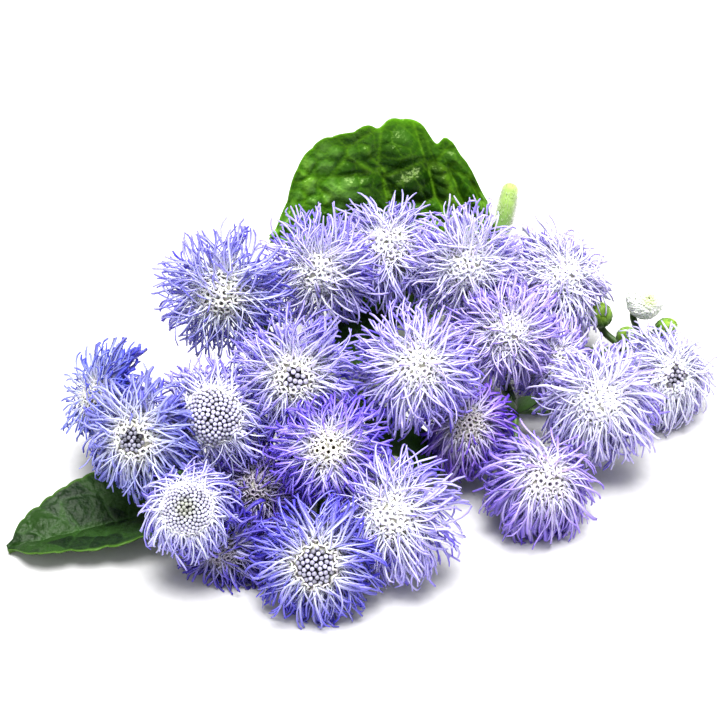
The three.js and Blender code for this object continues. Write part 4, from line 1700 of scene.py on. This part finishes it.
@dataclass
class GreenFrame:
    """All that is green and grows as one: stem, branches, stalks, bells of bracts and buds.

    Attributes:
        stem: Points of the stem, from its cut end to the fork.
        branches: Its branches.
        leaflets: Small leaves near the heads: foot, turn, rise and length of each.
        stem_radius: Its stem's radius.
        branch_radii: A branch's radius at its start and end.
        stalk_radius: Of the stalks of heads and buds.
        bracts: How many bracts a whorl has.
        hairs: How many hairs its stem has.
    """

    stem: list[Point]
    branches: list[Branch]
    leaflets: list[tuple[Point, float, float, float]]
    stem_radius: float = 1.25
    branch_radii: tuple[float, float] = (1.0, 0.7)
    stalk_radius: float = 0.5
    bracts: int = 15
    hairs: int = 900

    def build(self, heads: list[FlowerHead]) -> bpy.types.Object:
        """Builds the frame.

        Args:
            heads: All flower heads.

        Returns:
            The piece.
        """
        pile = Pile("green_frame")
        random = np.random.default_rng(77)
        self.add_stem(pile, random)
        rooms = self.rooms(len(heads) + 12)
        by_name = {head.name: head for head in heads}
        for branch in self.branches:
            line = SmoothLine(branch.line).at(np.linspace(0, 1, 26))
            first, last = self.branch_radii
            radii = np.linspace(first, last, 26)
            self.add_rod(pile, line, radii, next(rooms), random)
            for head in (by_name[name] for name in branch.heads):
                depth = (DISC_DEPTH + GAP + BELL_DEPTH) * head.size
                self.add_stalk(pile, line, np.array(head.at, float), head.direction, depth, next(rooms))
                self.add_bell(pile, head, next(rooms), random)
            for bud in branch.buds:
                direction = facing(bud.turn, bud.rise)
                self.add_stalk(pile, line, np.array(bud.at, float), direction, 0.45 * bud.length, next(rooms))
                self.add_bud(pile, bud, direction, next(rooms), random)
        self.add_leaflets(pile, next(rooms), random)
        return pile.made()

    def add_leaflets(
        self, pile: Pile, room: tuple[float, float, float, float], random: np.random.Generator
    ) -> None:
        """Adds the small leaves that stand near the heads.

        Args:
            pile: Where they go.
            room: The part of the map that they take.
            random: The frame's chance numbers.
        """
        feet = np.array([foot for foot, _, _, _ in self.leaflets], float)
        turns = np.array([standing(facing(turn, rise)) for _, turn, rise, _ in self.leaflets])
        lengths = np.array([length for _, _, _, length in self.leaflets], float)
        scales = np.stack([lengths * 0.8, lengths * 0.6, lengths], 1)
        leaflets = stamped(self.bract_form(), turns, feet, scales, random.uniform(0, 1, len(feet)))
        leaflets.growth = 0.4 * leaflets.growth
        leaflets.points[:, 2] = np.maximum(leaflets.points[:, 2], 0.05)
        pile.add(leaflets, BRACTS.material(), room)

    def rooms(self, count: int):
        """Yields cells of the map, one after another.

        Args:
            count: About half as many as there will be.

        Yields:
            Left, bottom, right and top of each cell.
        """
        across = math.ceil(math.sqrt(2 * count))
        for i in range(across * across):
            x, y = i % across, i // across
            yield (x / across, y / across, (x + 0.96) / across, (y + 0.96) / across)

    def add_stem(self, pile: Pile, random: np.random.Generator) -> None:
        """Adds the stem with its cut end and short hairs.

        Args:
            pile: Where it goes.
            random: The frame's chance numbers.
        """
        steps = np.linspace(0, 1, 60)
        line = SmoothLine(self.stem).at(steps)
        line[:, 2] = np.maximum(line[:, 2], self.stem_radius * 0.93)
        ridge = 1 + 0.025 * np.sin(9 * steps) + 0.05 * smooth((steps - 0.9) / 0.1)
        radii = 0.96 * self.stem_radius * ridge
        room = (0.0, 0.93, 0.6, 0.99)
        stem = tubes(line[None], radii[None], radii[None], np.array([[0.0, 0.2, 0.9]]), 24)
        pile.add(stem, STEM.material(), room)
        start, way = line[0], unit(line[0] - line[1])
        face = revolved(
            np.outer([0.93, 0.9, 0.55, 0.3, 0.12], np.ones(24)) * self.stem_radius,
            np.outer([-0.25, 0.05, 0.1, 0.02, -0.03], np.ones(24)),
            [0.0, 0.0, 1.0, 1.0, 0.6],
        )
        face.points = face.points @ standing(way).T + start
        pile.add(face, CUT.material(), (0.62, 0.93, 0.7, 0.99))
        self.add_hairs(pile, line, radii, random, self.hairs, (0.72, 0.93, 1.0, 0.99))

    def add_hairs(
        self,
        pile: Pile,
        line: Array,
        radii: Array,
        random: np.random.Generator,
        count: int,
        room: tuple[float, float, float, float],
    ) -> None:
        """Adds short soft hairs to a stem.

        Args:
            pile: Where they go.
            line: The stem's points.
            radii: Its radius at each.
            random: The frame's chance numbers.
            count: How many hairs.
            room: The part of the map that they take.
        """
        at = random.uniform(0.5, len(line) - 1.5, count)
        k = at.astype(int)
        share = (at - k)[:, None]
        middle = line[k] * (1 - share) + line[k + 1] * share
        tangent = unit(line[k + 1] - line[k])
        out = random.normal(0, 1, (count, 3))
        out = unit(out - (out * tangent).sum(1, keepdims=True) * tangent)
        root = middle + out * (radii[k] * 0.97)[:, None]
        length = random.uniform(0.35, 0.8, count)[:, None]
        tip = root + unit(out + 0.35 * random.normal(0, 1, (count, 3))) * length
        keep = tip[:, 2] > 0.06
        root, tip, tangent = root[keep], tip[keep], tangent[keep]
        paths = np.stack([root, (root + tip) / 2, tip], 1)
        girth = np.tile([0.03, 0.022, 0.008], (len(paths), 1))
        pile.add(tubes(paths, girth, girth, tangent, 3), HAIR.material(), room)

    def add_rod(
        self,
        pile: Pile,
        line: Array,
        radii: Array,
        room: tuple[float, float, float, float],
        random: np.random.Generator,
    ) -> None:
        """Adds a branch.

        Args:
            pile: Where it goes.
            line: Its points.
            radii: Its radius at each.
            room: The part of the map that it takes.
            random: The frame's chance numbers.
        """
        radii = 0.97 * radii
        rod = tubes(line[None], radii[None], radii[None], np.array([[0.1, 0.2, 0.9]]), 14)
        rod.growth = 0.3 + 0.7 * rod.growth
        left, bottom, right, top = room
        pile.add(rod, STEM.material(), (left, bottom, right, (bottom + top) / 2))
        self.add_hairs(pile, line, radii, random, 120, (left, (bottom + top) / 2, right, top))

    def add_stalk(
        self,
        pile: Pile,
        line: Array,
        middle: Array,
        direction: Array,
        depth: float,
        room: tuple[float, float, float, float],
    ) -> None:
        """Adds a stalk from a branch's outer half to the back of what it carries.

        Args:
            pile: Where it goes.
            line: The branch's points.
            middle: Middle of what it carries.
            direction: Which way that looks.
            depth: How deep it is behind its middle.
            room: The part of the map that the stalk takes.
        """
        foot = middle - direction * depth
        outer = line[len(line) // 2 :: 4]
        near = outer[np.linalg.norm(outer - (foot - 2 * direction), axis=1).argmin()]
        back = foot - direction * 0.5 * np.linalg.norm(near - foot)
        back[2] = max(back[2], self.stalk_radius)
        aside = near + 0.5 * (back - near)
        sunk = foot + direction * 0.6
        steps = np.linspace(0, 1, 16)
        path = bezier([p[None] for p in (near, aside, back, sunk)], steps[None])
        path[..., 2] = np.maximum(path[..., 2], self.stalk_radius)
        radius = self.stalk_radius * (0.94 + 0.3 * steps**6)[None]
        stalk = tubes(path, radius, radius, np.array([[0.2, 0.3, 0.9]]), 10)
        stalk.growth = 0.35 + 0.65 * stalk.growth
        pile.add(stalk, STEM.material(), room)

    def bract_form(self) -> Patch:
        """Returns a bract that stands at +X and hugs the +Z line: a slim pointed blade."""
        rows, columns = 7, 3
        h = np.linspace(0, 1, rows)[:, None]
        c = np.array([-1.0, 0.0, 1.0])[None]
        half = 0.42 * np.sin(np.pi * np.clip(0.28 + 0.72 * h, 0, 1)) ** 0.8 + 0.02
        outer = np.stack(
            [0.1 * (1 - c**2) + 0 * h, half * c, h + 0 * c], -1,
        ).reshape(-1, 3)
        inner = outer - np.array([0.09, 0, 0])
        at = np.arange(rows * columns).reshape(rows, columns)
        a, b, d, e = (x.ravel() for x in (at[:-1, :-1], at[:-1, 1:], at[1:, 1:], at[1:, :-1]))
        face = np.stack([a, b, d, e], 1)
        rim = np.concatenate([at[0, :], at[1:, -1], at[-1, -2::-1], at[-2:0:-1, 0]])
        following = np.roll(rim, -1)
        count = rows * columns
        quads = np.concatenate([face, face[:, ::-1] + count,
                                np.stack([following, rim, rim + count, following + count], 1)])
        flat = np.stack([0.25 + 0.2 * (c + 0 * h), h + 0 * c], -1).reshape(-1, 2)
        flat = np.concatenate([flat, flat + np.array([0.5, 0])])
        quad_maps = np.clip(flat[quads], 0, 1)
        growth = np.tile(np.repeat(h.ravel(), columns), 2)
        return Patch(
            np.concatenate([outer, inner]), quads, np.zeros((0, 3), int), quad_maps,
            np.zeros((0, 3, 2)), growth, np.zeros(2 * count),
        )

    def add_bell(
        self,
        pile: Pile,
        head: FlowerHead,
        room: tuple[float, float, float, float],
        random: np.random.Generator,
    ) -> None:
        """Adds the bell of bracts under a head.

        Args:
            pile: Where it goes.
            head: The head that it carries.
            room: The part of the map that it takes.
            random: The frame's chance numbers.
        """
        size = head.size
        top = -(DISC_DEPTH + 0.1) * size
        ring = np.ones(20)
        cup = revolved(
            np.outer([0.5, 1.35, 2.1, 2.55, 2.72, 1.2], ring) * size,
            np.outer([-4.35, -3.8, -2.6, -1.3, -0.15, -0.12], ring) * size + top,
            [0.0, 0.1, 0.3, 0.5, 0.7, 0.7],
        )
        cup.points = cup.points @ head.bell_turned.T + np.array(head.at, float)
        left, bottom, right, upper = room
        half = (bottom + upper) / 2
        pile.add(cup, BRACTS.material(), (left, bottom, right, half))
        form = self.bract_form()
        whorls = []
        for row, (low, high, inner, outer) in enumerate(
            ((-3.9, 0.35, 1.55, 2.98), (-3.7, 0.05, 1.72, 3.12))
        ):
            count = self.bracts
            angle = 2 * np.pi * (np.arange(count) + 0.5 * row) / count + random.normal(0, 0.05, count)
            foot = np.stack([inner * np.cos(angle), inner * np.sin(angle), np.full(count, low)], 1)
            tip_height = high + random.uniform(-0.25, 0.3, count)
            tip = np.stack([outer * np.cos(angle), outer * np.sin(angle), tip_height], 1)
            up = tip - foot
            radial = np.stack([np.cos(angle), np.sin(angle), 0 * angle], 1)
            z = unit(up)
            x = unit(radial - (radial * z).sum(1, keepdims=True) * z)
            y = np.cross(z, x)
            turns = np.stack([x, y, z], -1)
            lengths = np.linalg.norm(up, axis=1)
            scales = np.stack([np.full(count, 1.0), np.full(count, 1.15), lengths], 1)
            foot = foot * size + np.array([0, 0, top])
            whorls.append((turns, foot, scales * size))
        turns, foot, scales = (np.concatenate(parts) for parts in zip(*whorls))
        variety = random.uniform(0, 1, len(foot))
        turns = np.einsum("ij,njk->nik", head.bell_turned, turns)
        foot = foot @ head.bell_turned.T + np.array(head.at, float)
        bracts = stamped(form, turns, foot, scales, variety)
        swell = bracts.growth * (1 - bracts.growth) * 4
        centre = np.array(head.at, float)
        axis = head.direction
        offset = bracts.points - centre
        radial = offset - (offset @ axis)[:, None] * axis
        bracts.points = bracts.points + unit(radial) * (0.42 * size * swell)[:, None]
        bracts.points[:, 2] = np.maximum(bracts.points[:, 2], 0.05)
        pile.add(bracts, BRACTS.material(), (left, half, right, upper))

    def add_bud(
        self,
        pile: Pile,
        bud: Bud,
        direction: Array,
        room: tuple[float, float, float, float],
        random: np.random.Generator,
    ) -> None:
        """Adds a closed bud: an egg wrapped in pointed bracts.

        Args:
            pile: Where it goes.
            bud: Its place and size.
            direction: Which way it looks.
            room: The part of the map that it takes.
            random: The frame's chance numbers.
        """
        turned = standing(direction)
        at = np.array(bud.at, float)
        rings = np.linspace(0.05, np.pi - 0.05, 9)
        radius, half = 0.33 * bud.length, 0.49 * bud.length
        egg = revolved(
            np.outer(radius * np.sin(rings) ** 0.85, np.ones(16))[::-1],
            np.outer(half * np.cos(rings), np.ones(16))[::-1],
            list(np.linspace(0, 0.9, 9)),
        )
        egg.points = egg.points @ turned.T + at
        left, bottom, right, upper = room
        middle = (bottom + upper) / 2
        pile.add(egg, BUD.material(), (left, bottom, right, middle))
        form = self.bract_form()
        count = 12
        angle = 2 * np.pi * np.arange(count) / count
        radial = np.stack([np.cos(angle), np.sin(angle), 0 * angle], 1)
        foot = radial * 0.12 * bud.length + np.array([0, 0, -half])
        tip = radial * 0.13 * bud.length
        tip[:, 2] = half * (0.8 + 0.25 * random.uniform(0, 1, count))
        z = unit(tip - foot)
        x = unit(radial - (radial * z).sum(1, keepdims=True) * z)
        turns = np.einsum("ij,njk->nik", turned, np.stack([x, np.cross(z, x), z], -1))
        lengths = np.linalg.norm(tip - foot, axis=1)
        scales = np.stack([0.8 + 0 * lengths, 0.22 * bud.length + 0 * lengths, lengths], 1)
        bracts = stamped(form, turns, foot @ turned.T + at, scales, random.uniform(0, 1, count))
        offset = bracts.points - at
        out = offset - (offset @ direction)[:, None] * direction
        swell = np.sin(np.pi * np.clip(bracts.growth, 0, 1)) ** 0.8
        bracts.points = bracts.points + unit(out) * (0.235 * bud.length * swell)[:, None]
        pile.add(bracts, BUD.material(), (left, middle, right, upper))


# ---------------------------------------------------------------- the studio


@dataclass
class Lamp:
    """A soft light from far away.

    Attributes:
        name: Its name.
        toward: The way to it from the table.
        width: How wide it looks from the table, in degrees.
        strength: Its strength, in watts for a square metre.
        colour: Its colour.
    """

    name: str
    toward: Point
    width: float
    strength: float
    colour: Colour = (1.0, 1.0, 1.0)

    def build(self) -> None:
        """Hangs the light."""
        data = bpy.data.lights.new(self.name, "SUN")
        data.angle = math.radians(self.width)
        data.energy, data.color = self.strength, self.colour
        lamp = bpy.data.objects.new(self.name, data)
        lamp.location = Vector(self.toward)
        lamp.rotation_euler = Vector(self.toward).to_track_quat("Z", "Y").to_euler()
        bpy.context.scene.collection.objects.link(lamp)


@dataclass
class Studio:
    """Floor, lights and camera.

    Attributes:
        eye: Where the camera stands, in metres.
        pitch: How far it looks down, in degrees.
        lens: Its focal length, in millimetres.
        lamps: The lights.
        sky: Strength of the even light from all around.
    """

    eye: Point
    pitch: float
    lens: float
    lamps: list[Lamp]
    sky: float
    look: str

    def build(self) -> None:
        """Sets up the studio."""
        scene = bpy.context.scene
        scene.view_settings.view_transform = "Standard"
        scene.view_settings.look = self.look
        world = bpy.data.worlds.new("studio_sky")
        world.use_nodes = True
        back = world.node_tree.nodes["Background"]
        back.inputs["Color"].default_value = (1.0, 1.0, 1.0, 1)
        back.inputs["Strength"].default_value = self.sky
        scene.world = world
        for lamp in self.lamps:
            lamp.build()
        self.add_floor()
        data = bpy.data.cameras.new("camera")
        data.lens, data.sensor_width = self.lens, 36.0
        data.clip_start, data.clip_end = 0.01, 10.0
        camera = bpy.data.objects.new("camera", data)
        camera.location = self.eye
        camera.rotation_euler = (math.radians(90 - self.pitch), 0, 0)
        scene.collection.objects.link(camera)
        scene.camera = camera

    def add_floor(self) -> None:
        """Lays the white table top."""
        half = 3.0
        mesh = bpy.data.meshes.new("table_top")
        mesh.from_pydata([(-half, -half, 0), (half, -half, 0), (half, half, 0), (-half, half, 0)], [], [(0, 1, 2, 3)])
        floor = bpy.data.objects.new("table_top", mesh)
        bpy.context.scene.collection.objects.link(floor)
        material = bpy.data.materials.new("white_table")
        material.use_nodes = True
        nodes = Nodes(material.node_tree)
        shader = material.node_tree.nodes["Principled BSDF"]
        where = nodes.add("TexCoord").outputs["Object"]
        cloud = nodes.add("TexNoise", {"Vector": where, "Scale": 900.0, "Detail": 2.0})
        colour = nodes.ramp(cloud.outputs["Fac"], [(0.3, (0.56, 0.56, 0.565)), (0.7, (0.59, 0.59, 0.595))])
        nodes.feed(shader.inputs["Base Color"], colour)
        shader.inputs["Roughness"].default_value = 0.85
        mesh.materials.append(material)


# ---------------------------------------------------------------- the spray

HEADS = [
    FlowerHead(
        "head_01", (-27, -24, 14), -20, 32, 1.0, 0.4, closed=0.46, tint=0.05, ribbons=0.35, pale=0.25, dim=0.5,
        dusk=0.5, bead_spacing=0.56,
    ),
    FlowerHead("head_02", (-18.5, -21.5, 15), -5, 40, 0.95, closed=1.05, tint=0.3, pale=0.65, dome=1.18),
    FlowerHead(
        "head_03", (-21, -33.5, 11.5), -5, 48, 0.8, 0.5, closed=1.1, tint=0.1, pale=0.75, unripe=0.8,
        dome=1.22, flatness=0.72,
    ),
    FlowerHead("head_04", (-18, -5, 20.5), -25, 45, 1.05, tint=0.2, pale=0.22, nod=(20, -22), dim=0.2),
    FlowerHead("head_05", (-6.5, 0, 20), -5, 50, 1.0, tint=0.5, pale=0.58, nod=(0, -22)),
    FlowerHead("head_06", (-9, -18.5, 18.5), 0, 36, 1.02, closed=0.42, tint=0.45, pale=0.3, bead_spacing=0.66, dim=0.3),
    FlowerHead("head_07", (2, 5.5, 19), 5, 58, 1.0, tint=0.5, pale=0.52),
    FlowerHead("head_08", (11.5, 2, 19.5), 8, 50, 1.0, tint=0.7, pale=0.88, nod=(0, -28)),
    FlowerHead("head_09", (5, -16.5, 18), 2, 45, 1.0, tint=0.6, pale=0.5),
    FlowerHead("head_10", (24, 8.5, 12), 35, 48, 1.0, tint=0.8, ribbons=0.3, pale=0.95),
    FlowerHead("head_11", (16.5, -3.5, 13), 12, 32, 0.95, tint=1.0, ribbons=0.3, pale=0.62, shade=0.08),
    FlowerHead("head_12", (-5, -25.5, 13.5), 0, 40, 0.9, tint=0.6, shade=0.08),
    FlowerHead("head_13", (2.5, -32, 9), 12, 42, 1.05, 0.4, tint=0.45, ribbons=0.2, pale=0.5, nod=(-32, 0)),
    FlowerHead(
        "head_14", (-6.5, -37.5, 7), 0, 35, 1.0, 0.4, closed=0.7, tint=0.25, ribbons=0.15, shade=0.15, dim=0.3
    ),
    # head_15, head_16 and head_17 lie in shade under the others: their shade and dim paint it into their colour.
    FlowerHead("head_15", (-17, -32, 4.5), -15, 12, 0.85, tint=0.45, ribbons=0.5, shade=0.7, dim=1.6),
    FlowerHead("head_16", (-13.5, -24.5, 6.5), -10, 35, 0.85, tint=0.8, ribbons=0.3, shade=0.6, dim=1.4),
    FlowerHead("head_17", (11.5, -16.5, 8.5), 0, 48, 0.85, 0.9, tint=1.0, ribbons=0.5, shade=0.35, dim=0.7),
    FlowerHead("head_18", (20, -24.5, 7), 18, 52, 1.0, 0.9, tint=0.85, ribbons=0.5, pale=0.3, dim=0.3, shade=0.22),
    FlowerHead(
        "head_19", (27.5, -14.5, 11), 12, 48, 1.05, 0.6, tint=0.65, ribbons=0.3, pale=0.88, nod=(-28, -10)
    ),
    FlowerHead(
        "head_20", (37, -5, 7), 22, 36, 0.95, 0.8, closed=0.42, tint=0.45, pale=1.0, dusk=0.9, bead_spacing=0.6
    ),
    FlowerHead(
        "head_21", (-32, -15, 11.5), -75, 30, 0.95, tint=0.0, ribbons=0.6, shade=0.12, dim=0.6, bare=0.0,
        shy=0.5, lean=(-120, 40),
    ),
    FlowerHead("head_22", (23, -2, 7), 15, 45, 0.75, tint=0.8, pale=0.5),
    FlowerHead(
        "young_head", (36, 10.5, 7), 30, 58, 0.62, young=True, bead_spacing=0.56, nod=(-14, -20), dome=1.2,
        flatness=0.7,
    ),
]

LEAVES = [
    Leaf(
        "leaf_back",
        stalk=[(12.5, 16.5, 6), (16, 17, 11)],
        midrib=[(15.5, 16, 15.5), (6.5, 15, 16.5), (-4, 12.5, 17.5), (-13, 9.5, 17.8)],
        faces=[(0.15, -0.8, 0.55), (-0.35, -0.75, 0.5)],
        widths=(
            [3, 9, 12, 13, 12.5, 11, 8.5, 5.5, 2.5, 0.5],
            [3.2, 10, 12, 13.4, 13.5, 12.8, 12.1, 8.8, 3.6, 0.5],
        ),
        notches=([(3, 0.12), (7, 0.1), (11, 0.08)], [(2, 0.1), (4, 0.14), (8, 0.06)]),
        fold=(-12, 6),
        curl=(25, 16),
        wave=1.3,
        veins=[0, 2, 4, 8, 12, 15, 18],
        puff=1.1,
        finish=LEAF_IN_PAINTED_LIGHT,
        cell=4.8,
        # Painted shade in the hollows across the middle and near the base, and painted light on the lobe near the tip.
        patches=[
            (0.5, 0.32, 0.13, -0.35), (0.37, 0.18, 0.08, -0.2), (0.21, 0.6, 0.15, -0.1),
            (0.82, 0.55, 0.26, 0.75), (0.45, 0.65, 0.16, -0.45),
        ],
        rows=180,
        across=50,
    ),
    Leaf(
        "leaf_left",
        stalk=[(-15.5, -10.5, 6.6), (-16, -15, 4.8)],
        midrib=[(-17.5, -20, 3), (-26.5, -23, 0.9), (-35, -26, 0.55), (-43.3, -29, 0.6)],
        faces=[(0, 0, 1), (0, 0.1, 1)],
        widths=(
            [1.5, 5, 7, 8, 8, 7.2, 6.2, 5.6, 4.6, 0.5],
            [1.5, 5.5, 7.6, 8.2, 7.7, 7, 6.1, 5.1, 3.4, 0.5],
        ),
        notches=(
            [(7, 0.06), (10, 0.06), (13, 0.08), (16, 0.06)],
            [(8, 0.04), (14, 0.04)],
        ),
        fold=(25, 24),
        curl=(-6, -8),
        wave=0.4,
        veins=[0, 3, 6, 9, 12, 15, 18],
        puff=0.3,
        finish=LEAF_IN_PAINTED_SHADE,
        cell=3.2,
    ),
    Leaf(
        "leaf_middle",
        stalk=[(-2.2, -11.5, 6.4), (-2.4, -12.6, 9)],
        midrib=[(-1.6, -13.6, 11.4), (2.5, -15.2, 10), (6.3, -15.4, 7.3), (8.4, -15.4, 4.4), (8.3, -16.6, 1.4)],
        faces=[(0.25, 0.35, 0.9), (0.9, 0.3, 0.35)],
        widths=(
            [1, 3.2, 4.6, 5.2, 5.2, 5.1, 4.5, 3.5, 2, 0.5],
            [1, 3.2, 4.6, 5.2, 5.2, 5.1, 4.5, 3.5, 2, 0.5],
        ),
        notches=([(6, 0.08), (12, 0.08)], [(6, 0.08), (12, 0.08)]),
        fold=(-58, -50),
        curl=(-8, -8),
        wave=0.2,
        veins=[0, 4, 8, 12, 15, 18],
        puff=0.2,
        finish=LEAF_IN_PAINTED_SHADE,
        cell=3.0,
        # Painted light on both halves, which lie under the heads.
        patches=[(0.5, 0.5, 0.6, 0.5), (0.5, -0.5, 0.6, 0.5)],
        rows=90,
        across=24,
    ),
    Leaf(
        "leaf_inner",
        stalk=[(3, 6, 7.2), (2.2, 5.4, 8.8)],
        midrib=[(0.8, 4.5, 9.6), (-1.2, 1.2, 10.1), (-3.4, -2.6, 10), (-5.6, -6.4, 9.2)],
        faces=[(0.1, -0.3, 0.95), (0, -0.35, 0.95)],
        widths=(
            [1, 3, 4, 4.4, 4.4, 4.2, 3.6, 2.8, 1.6, 0.5],
            [1, 3, 4, 4.4, 4.4, 4.2, 3.6, 2.8, 1.6, 0.5],
        ),
        notches=([(5, 0.08), (10, 0.08)], [(7, 0.08), (12, 0.08)]),
        fold=(16, 12),
        curl=(-18, -14),
        wave=0.3,
        veins=[0, 4, 8, 12, 15, 18],
        puff=0.2,
        finish=LEAF_IN_PAINTED_SHADE,
        cell=3.0,
        rows=80,
        across=20,
    ),
]

FORK = (9.5, 11.5, 6)
FRAME = GreenFrame(
    stem=[(20.5, 44, 1.1), (18.5, 34, 1.2), (14.5, 21, 4), FORK],
    branches=[
        Branch(
            [FORK, (3, -3, 5.5), (-4, -15, 6.5), (-6, -24, 5.5)],
            ["head_06", "head_09", "head_12", "head_13", "head_14", "head_16"],
        ),
        Branch(
            [FORK, (-4, 1, 7.5), (-15, -10, 7.5), (-22, -15, 7)],
            ["head_01", "head_02", "head_03", "head_04", "head_15", "head_21"],
        ),
        Branch([FORK, (7, 10, 8.5), (4, 8.5, 11)], ["head_05", "head_07", "head_08"]),
        Branch(
            [FORK, (15, 3.5, 4.5), (18, -8, 4)],
            ["head_11", "head_17", "head_18", "head_19"],
        ),
        Branch(
            [FORK, (20, 9, 3), (30, 5, 2.4), (36, 8.5, 2.4)],
            ["head_10", "head_20", "head_22", "young_head"],
            [
                Bud((30, 8, 6.5), -10, 70, 4.2),
                Bud((33, 3.5, 6.5), 10, 60, 3.6),
                Bud((38.5, 6.5, 5.5), 50, 45, 3.6),
            ],
        ),
    ],
    leaflets=[
        ((-20.5, -27.5, 10.2), -60, 50, 3.4),
        ((-20.5, -27.5, 10.2), 40, 55, 3.2),
        ((-20.5, -27.8, 10.4), -10, 75, 2.6),
        ((18, -8, 4.4), 60, 40, 4.2),
        ((18, -8, 4.4), -50, 50, 3.6),
        ((17, -4, 4.6), 150, 60, 4.0),
        ((22, -10, 5), 20, 30, 3.6),
        ((21.5, -16.5, 3.4), 60, 45, 3.4),
        ((21, -17, 3.6), -60, 50, 3.0),
    ],
)

STUDIO = Studio(
    eye=(-0.0015, -0.1972, 0.1704),
    pitch=40.0,
    lens=100.0,
    lamps=[
        Lamp("key", (0.04, -0.02, 0.97), 36.0, 5.3, (1.0, 0.99, 0.98)),
        Lamp("fill", (-0.5, -0.75, 0.5), 60.0, 0.45, (0.95, 0.96, 1.0)),
    ],
    sky=0.52,
    look="Medium High Contrast",
)


def dress(piece: bpy.types.Object, node: str) -> None:
    """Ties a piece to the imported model.

    Args:
        piece: The piece.
        node: The solid that it stands for.
    """
    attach(piece, "root")
    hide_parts(node)
    faces = sum(len(face.vertices) - 2 for face in piece.data.polygons)
    log.info("%s: %d triangles, stands for %s", piece.name, faces, node)


def main() -> None:
    """Builds the spray piece by piece, then the studio."""
    logging.basicConfig(level=logging.INFO, format="%(message)s")
    obstacles = Obstacles([leaf.name for leaf in LEAVES])
    for head in HEADS:
        dress(head.build(HEADS, obstacles), head.name)
    for leaf in LEAVES:
        dress(leaf.build(), leaf.name)
    dress(FRAME.build(HEADS), "stem")
    STUDIO.build()


if __name__ == "__main__":
    main()
